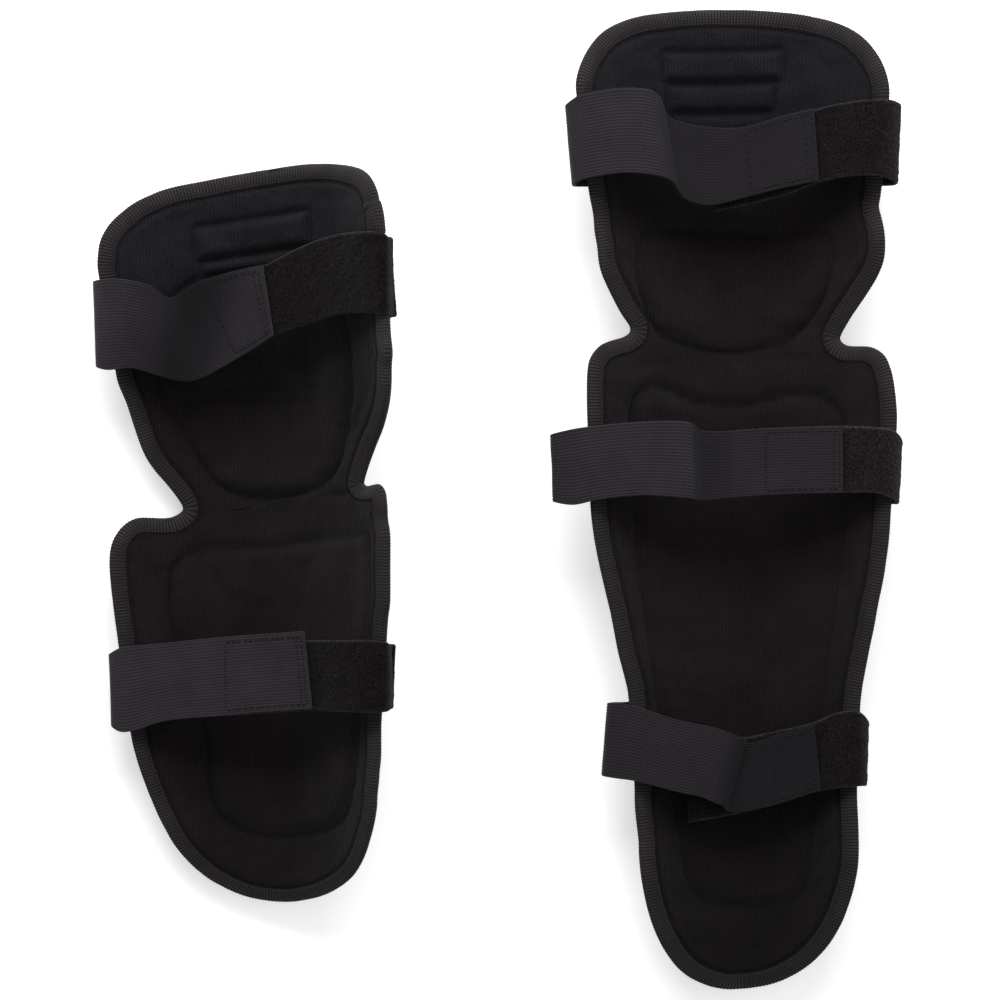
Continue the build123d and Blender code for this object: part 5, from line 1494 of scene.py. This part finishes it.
def strap(name, key, part, strap_body, anchor_node):
    el, tab = STRAPS[name]["el"], STRAPS[name]["tab"]
    el = [(np.array(a), np.array(b)) for a, b in el]
    tab = [(np.array(a), np.array(b)) for a, b in tab]
    step = 0.9
    # elastic with its sewn end
    st = anchor_rows(key, part, el[0], TURN[name]) + [list(p) for p in el]
    fr = ribbon_frame(st, step)
    lay = lambda T, K, w: 0.35 * wobble(T, K * 30, hash_of(name), 45.0) - 0.25 * (1 - (2 * K - 1) ** 2) * 0
    ob = ribbon_mesh(name + "_elastic_band", fr, 1.75, [M_ELAS], lay, rib_profile(1.5, 0.15),
                     m_top=163)
    # painted shade and light along the elastic
    paint_band_shade(ob, fr, *STRAP_PAINTED_SHADE[name])
    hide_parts(name + "_elastic", anchor_node)
    hinge(ob, name, 0, el[0])
    # hook patch under the free end
    k = HOOK_FROM[name]
    n_end = len(fr[0])
    s_hook = sum(np.linalg.norm((el[i][0] + el[i][1]) / 2 - (el[i + 1][0] + el[i + 1][1]) / 2) for i in range(len(el) - k, len(el) - 1))
    i0 = int(np.searchsorted(fr[4], fr[4][-1] - s_hook))
    sub = tuple(a[i0:n_end - 1] for a in fr)
    A, B = sub[0], sub[1]
    w = (A - B) / np.linalg.norm(A - B, axis=1)[:, None]
    sub = (A - w * 1.6, B + w * 1.6, sub[2], sub[3], sub[4])

    def hooks_fn(T, W, width):
        return -0.16 * (np.cos(2 * np.pi * T / 1.7) * np.cos(2 * np.pi * W / 1.7) > 0.2)
    hk = ribbon_mesh(name + "_hook_patch", sub, 1.0, [M_HOOK], lay, None, m_top=49, shift=-1.5, bottom_fn=hooks_fn)
    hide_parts(name + "_hook")
    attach(hk, strap_body)
    # box stitching through the elastic into the patch
    pts, dirs, nor = [], [], []
    A, B, nn, tan, t = fr

    def line(k0, k1, s0, s1):
        P0 = np.array([k0, s0])
        P1 = np.array([k1, s1])
        wd = float(np.mean(np.linalg.norm(A[i0:] - B[i0:], axis=1)))
        ln = math.hypot((k1 - k0) * wd, s1 - s0)
        cnt = max(1, int(ln / 2.9))
        for q in range(cnt):
            f = (q + 0.5) / cnt
            kk, ss = P0 + (P1 - P0) * f
            i = int(np.clip(np.searchsorted(t, ss), 1, len(t) - 2))
            p = B[i] * (1 - kk) + A[i] * kk + nn[i] * (0.93 + 0.35 * 0)
            dr = tan[i] * (s1 - s0) + (A[i] - B[i]) * (k1 - k0)
            dr /= np.linalg.norm(dr)
            curlv = float(lay(np.array([[ss]]), np.array([[kk]]), wd)[0, 0])
            pts.append(p + nn[i] * (curlv + 0.12))
            dirs.append(dr)
            nor.append(nn[i])
    e0, e1 = fr[4][i0] + 1.5, fr[4][-1] - 2.4
    for a in (0.07, 0.93):
        line(a, a, e0, e1)
    line(0.07, 0.93, e1, e1)
    line(0.07, 0.93, e0, e0)
    line(0.07, 0.93, e1 - 3.0, e1 - 3.0)
    sm = stitch_mesh(name + "_box_stitch", pts, dirs, nor, 2.0, 0.6, M_THREAD_DARK)
    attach(sm, strap_body)
    # loop tab
    st = anchor_rows(key, part, tab[0], TURN[name]) + [list(p) for p in tab]
    fr2 = ribbon_frame(st, step)

    def pile_fn(T, W, width):
        rng = np.random.RandomState(hash_of(name) + 5)
        n = rng.uniform(-1, 1, T.shape)
        n = (n + np.roll(n, 1, 0) + np.roll(n, 1, 1) + np.roll(n, -1, 0) + np.roll(n, -1, 1)) / 2.6
        edge = smooth(np.minimum(W, width - W) / 1.6)
        return (0.16 * n + 0.22 * wobble(T, W, 41, 6.0)) * edge - 0.18 * (1 - edge)
    tb = ribbon_mesh(name + "_loop_tab_cloth", fr2, 2.0, [M_PILE], lay, pile_fn, m_top=75, edge_round=0.9)
    tab_tint(tb, fr2, TAB_PAINTED_SHADE[name])
    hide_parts(name + "_loop_tab", anchor_node)
    hinge(tb, name, 1, tab[0])
    return ob


def hash_of(name):
    return sum(ord(ch) * (i + 3) for i, ch in enumerate(name)) % 97


# the way a strap and its tab leave the fold at the rim, clear of the leg that is sewn down; hinge works the way out but
# only bakes the transform
LEAVE = {
    "knee_top": ((0.07, 0.0, 1.0), (-0.1, 0.0, 0.99)),
    "knee_mid": ((0.0, 0.0, 1.0), (-0.03, 0.0, 1.0)),
    "knee_low": ((0.03, 0.0, 1.0), (-0.1, 0.0, 0.99)),
    "elbow_top": ((-0.07, -0.16, 0.98), (-0.53, -0.1, 0.84)),
    "elbow_low": ((-0.28, 0.0, 0.96), (-0.56, 0.0, 0.83)),
}


def hinge(ob, name, which, first):
    d = np.array(LEAVE[name][which])
    w = (first[0] - first[1]) / np.linalg.norm(first[0] - first[1])
    d = d - (d @ w) * w
    d /= np.linalg.norm(d)
    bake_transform(ob)


for key in ("knee", "elbow"):
    lining(key)
    tape(key)
    edge_stitches(key)
tape_overlap("elbow", (80.3, 146.0), 17.0, "elbow_arm")
tape_overlap("knee", (-82.3, -54.0), 20.0, "knee_shin")

strap("knee_top", "knee", "up", "knee_top_strap", "knee_thigh_anchors")
strap("knee_mid", "knee", "low", "knee_mid_strap", "knee_shin_anchors")
strap("knee_low", "knee", "low", "knee_low_strap", "knee_shin_anchors")
strap("elbow_top", "elbow", "up", "elbow_top_strap", "elbow_arm_anchors")
strap("elbow_low", "elbow", "low", "elbow_low_strap", "elbow_forearm_anchors")

plate("knee_shin_shell", "knee", None, "knee_shin",
      [(-312, 14), (-303, 26), (-285, 36), (-255, 41), (-215, 43), (-170, 47), (-130, 53), (-90, 59), (-55, 60), (-30, 56), (-17, 42)],
      "knee_shin_plate",
      shapes=[(bar(0, -165, 15, 120, 0, 12), 0.9, 4.0), (bar(-31, -105, 3.2, 48, 0, 3), -0.8, 2.0), (bar(31, -105, 3.2, 48, 0, 3), -0.8, 2.0)],
      wear=[(-13, 13, -240, -150)], rivets=[(-40, -45), (40, -45), (-27, -272), (27, -272)])
plate("knee_cup_shell", "knee", None, "knee_thigh",
      [(13, 34), (24, 44), (42, 52), (62, 54), (78, 50), (89, 40)], "knee_cup",
      shapes=[(bar(0, 54, 33, 27, 0, 16), 0.8, 4.0)],
      wear=[(-22, 22, 34, 74)], rivets=[(-40, 40), (40, 40), (-36, 76), (36, 76)])
plate("knee_thigh_shell", "knee", None, "knee_thigh",
      [(96, 44), (106, 52), (124, 54), (140, 48), (150, 38), (156, 24)], "knee_thigh_plate",
      shapes=[(bar(0, 126, 22, 3.0, 0, 2.5), -0.8, 2.0), (bar(0, 114, 26, 3.0, 0, 2.5), -0.8, 2.0), (bar(0, 138, 18, 3.0, 0, 2.5), -0.8, 2.0)],
      rivets=[(-38, 108), (38, 108), (-28, 142), (28, 142)])
plate("elbow_forearm_shell", "elbow", "low", "elbow_forearm",
      [(-187, 12), (-181, 22), (-165, 33), (-140, 42), (-110, 49), (-80, 54), (-50, 57), (-28, 54), (-17, 40)],
      "elbow_forearm_plate",
      shapes=[(bar(0, -100, 13, 66, 0, 11), 0.8, 4.0), (bar(-27, -88, 3, 34, 0, 2.8), -0.8, 2.0), (bar(27, -88, 3, 34, 0, 2.8), -0.8, 2.0)],
      rivets=[(-38, -42), (38, -42), (-22, -155), (22, -155)])
plate("elbow_cup_shell", "elbow", "up", "elbow_arm",
      [(15, 34), (26, 44), (42, 50), (60, 52), (76, 47), (86, 38)], "elbow_cup",
      shapes=[(bar(0, 51, 30, 25, 0, 15), 0.8, 4.0)], rivets=[(-38, 40), (38, 40), (-34, 72), (34, 72)])
plate("elbow_arm_shell", "elbow", "up", "elbow_arm",
      [(93, 42), (102, 50), (120, 52), (138, 46), (149, 36), (155, 22)], "elbow_arm_plate",
      shapes=[(bar(0, 123, 21, 3.0, 0, 2.5), -0.8, 2.0), (bar(0, 111, 25, 3.0, 0, 2.5), -0.8, 2.0), (bar(0, 135, 17, 3.0, 0, 2.5), -0.8, 2.0)],
      rivets=[(-36, 106), (36, 106), (-26, 139), (26, 139)])

# -------------------------------------------------------- floor and lights
sc = bpy.context.scene
fm, nt, bs = nodes_of("floor_white")
nz = N(nt, "ShaderNodeTexNoise", Scale=3.0, Detail=3.0)
L(nt, coords(nt, "object"), nz.inputs["Vector"])
L(nt, ramp(nt, nz.outputs[0], [(0.3, (0.90, 0.90, 0.90)), (0.7, (0.93, 0.93, 0.93))]), bs.inputs["Base Color"])
bs.inputs["Roughness"].default_value = 0.9
bs.inputs["Specular IOR Level"].default_value = 0.1
bs.inputs["Emission Color"].default_value = (1, 1, 1, 1)
bs.inputs["Emission Strength"].default_value = 0.46
bpy.ops.mesh.primitive_plane_add(size=6.0, location=(0, 0, 0))
floor = bpy.context.object
floor.name = "floor"
floor.data.materials.append(fm)

world = bpy.data.worlds.new("studio")
sc.world = world
world.use_nodes = True
bg = world.node_tree.nodes["Background"]
bg.inputs[0].default_value = (1, 1, 1, 1)
bg.inputs[1].default_value = 0.42


def area(name, loc, target, size, power):
    la = bpy.data.lights.new(name, "AREA")
    la.shape = "RECTANGLE"
    la.size, la.size_y = size
    la.energy = power
    ob = bpy.data.objects.new(name, la)
    sc.collection.objects.link(ob)
    ob.location = loc
    ob.rotation_euler = (Vector(target) - Vector(loc)).to_track_quat("-Z", "Y").to_euler()
    return ob


area("key", (0.0, 1.05, 1.0), (0.0, 0.02, 0.0), (1.1, 0.7), 21)
area("fill", (0.9, 0.1, 1.6), (0, 0, 0), (1.4, 1.4), 5)

cam = bpy.data.cameras.new("camera")
cam.sensor_width = 36.0
cam.lens = 36.0 * 2.0 / 0.5204
cam.clip_start = 0.01
cam.clip_end = 20
co = bpy.data.objects.new("camera", cam)
sc.collection.objects.link(co)
co.location = (0, 0, 2.0)
co.rotation_euler = (0, 0, math.radians(-1.2))
sc.camera = co
sc.view_settings.view_transform = "Standard"
sc.view_settings.look = "None"
sc.view_settings.exposure = 0.0
sc.view_settings.gamma = 1.0
